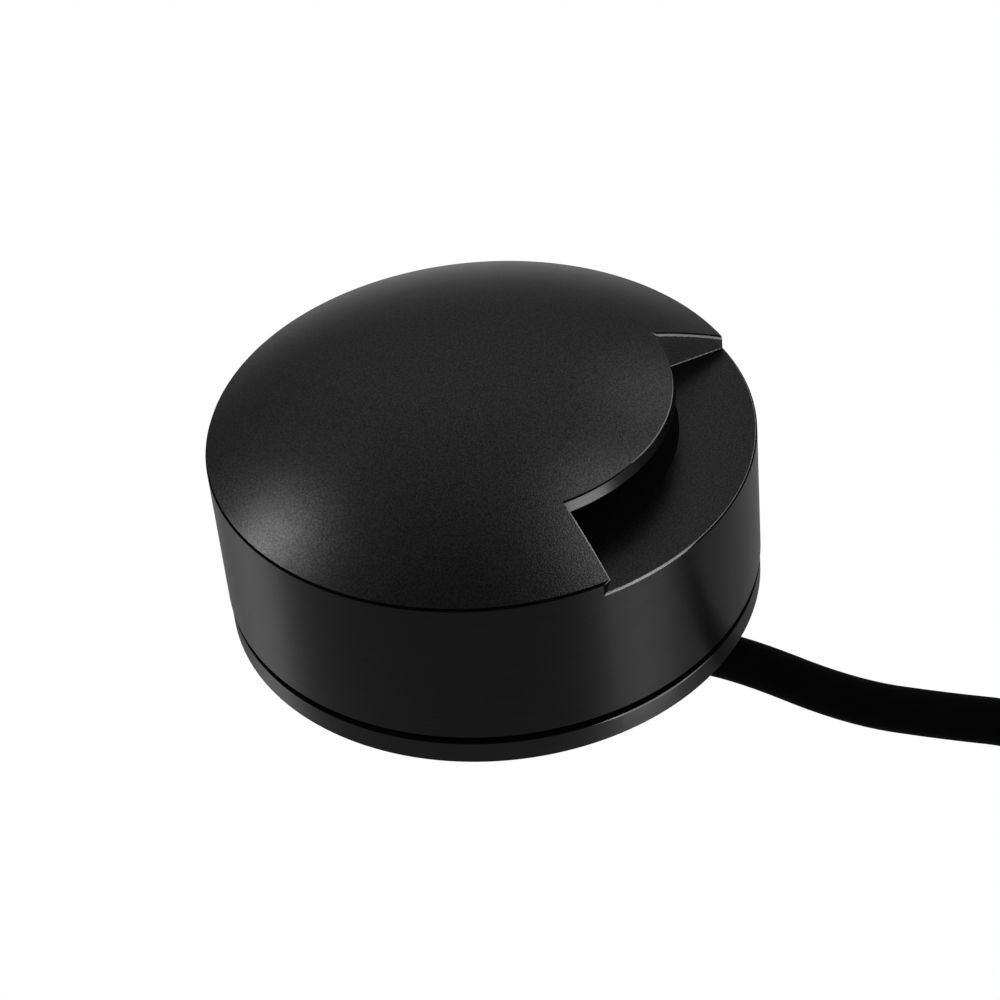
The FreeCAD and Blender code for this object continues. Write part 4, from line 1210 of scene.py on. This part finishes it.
studio = {
    "floorHalf": 20.0,
    "floorDrop": 0.2 * mm,
    "floorColour": 0.8,
    "glowFrom": (25, 36),  # azimuth from +X and elevation of the brightest part of the room
    "glowLow": 0.06,
    "glowHigh": 1.0,
    "glowFall": 3.0,
    "lamps": {
        # azimuth, elevation, distance, width, height, watts
        "keyBox": (89, 42, 0.70, 0.11, 0.11, 1.20),
        "leftStrip": (107, 11, 0.70, 0.28, 0.38, 9.6),
        "rightStrip": (-105, 15, 0.70, 0.31, 0.50, 8.6),
        "edgeBox": (-96, 40, 0.70, 0.44, 0.14, 1.6),
        "highBox": (-56, 57, 0.70, 0.36, 0.36, 2.1),
        "backBox": (-15, 33, 0.70, 0.24, 0.24, 0.36),
        "backStrip": (-20, 9, 0.70, 0.30, 0.12, 0.6),
    },
}


def direction(azimuth, elevation):
    a, e = math.radians(azimuth), math.radians(elevation)
    return Vector((math.cos(a) * math.cos(e), math.sin(a) * math.cos(e), math.sin(e)))


def buildFloor():
    s = studio
    reach, height = s["floorHalf"], cadLow.z - s["floorDrop"]
    skin = Skin()
    skin.face([Vector((x * reach, y * reach, height)) for x, y in squareCorners])
    floor = addObject("floor", skin.done("floor"))
    g = newFinish("floorWhite")
    # white to the eye, to gloss and through glass; lit as any floor for the light that it throws back
    kinds = [g.node("ShaderNodeLightPath", out=i) for i in (0, 3, 6)]
    seen = g.node("ShaderNodeClamp", {}, {0: kinds[0] + kinds[1] + kinds[2]})
    lit = g.node("ShaderNodeBsdfDiffuse", {}, {"Color": grey(s["floorColour"])})
    shown = g.node("ShaderNodeEmission", {}, {"Color": grey(1.0), "Strength": 1.0})
    mixed = g.node("ShaderNodeMixShader", {}, {0: seen, 1: lit, 2: shown})
    g.node("ShaderNodeOutputMaterial", {}, {"Surface": mixed})
    floor.data.materials.append(g.owner)


# the room: a soft glow behind the object that fades to the front
def buildWorld():
    s = studio
    world = bpy.data.worlds.new("softRoom")
    bpy.context.scene.world = world
    g = Graph(world)
    way = g.node("ShaderNodeTexCoord", out=0)
    facing = g.node(
        "ShaderNodeVectorMath", {"operation": "DOT_PRODUCT"}, {0: way, 1: direction(*s["glowFrom"])}, out=1
    )
    glow = g.node("ShaderNodeMath", {"operation": "MAXIMUM"}, {0: facing, 1: 0.0})
    level = s["glowLow"] + (s["glowHigh"] - s["glowLow"]) * glow ** s["glowFall"]
    room = g.node("ShaderNodeBackground", {}, {"Color": grey(1.0), "Strength": level})
    g.node("ShaderNodeOutputWorld", {}, {"Surface": room})


def buildLampStands():
    aim = Vector((0, 0, housing["ledge"]))
    for name, (azimuth, elevation, far, wide, tall, watts) in studio["lamps"].items():
        away = direction(azimuth, elevation)
        light = bpy.data.lights.new(name, "AREA")
        light.shape = "RECTANGLE"
        light.size, light.size_y = wide, tall
        light.energy = watts
        lamp = addObject(name, light)
        lamp.location = aim + away * far
        lamp.rotation_mode = "QUATERNION"
        lamp.rotation_quaternion = away.to_track_quat("Z", "Y")
        lamp.visible_camera = False


camera = {
    "place": (-0.233084, -0.102032, 0.225813),
    "forward": (0.70158, 0.30275, -0.64508),
    "up": (0.62949, 0.16097, 0.76016),
    "lens": 108.0,
    "sensor": 36.0,
    "near": 0.005,
}


def buildCamera():
    s = camera
    data = bpy.data.cameras.new("photoCamera")
    data.lens = s["lens"]
    data.sensor_width = s["sensor"]
    data.clip_start = s["near"]
    eye = addObject("photoCamera", data)
    forward, up = Vector(s["forward"]).normalized(), Vector(s["up"]).normalized()
    right = forward.cross(up)
    turn = Matrix((right, up, -forward)).transposed()
    eye.matrix_world = Matrix.Translation(s["place"]) @ turn.to_4x4()
    bpy.context.scene.camera = eye


buildFloor()
buildWorld()
buildLampStands()
buildCamera()
bpy.context.scene.view_settings.view_transform = "Standard"
print("studio ready")
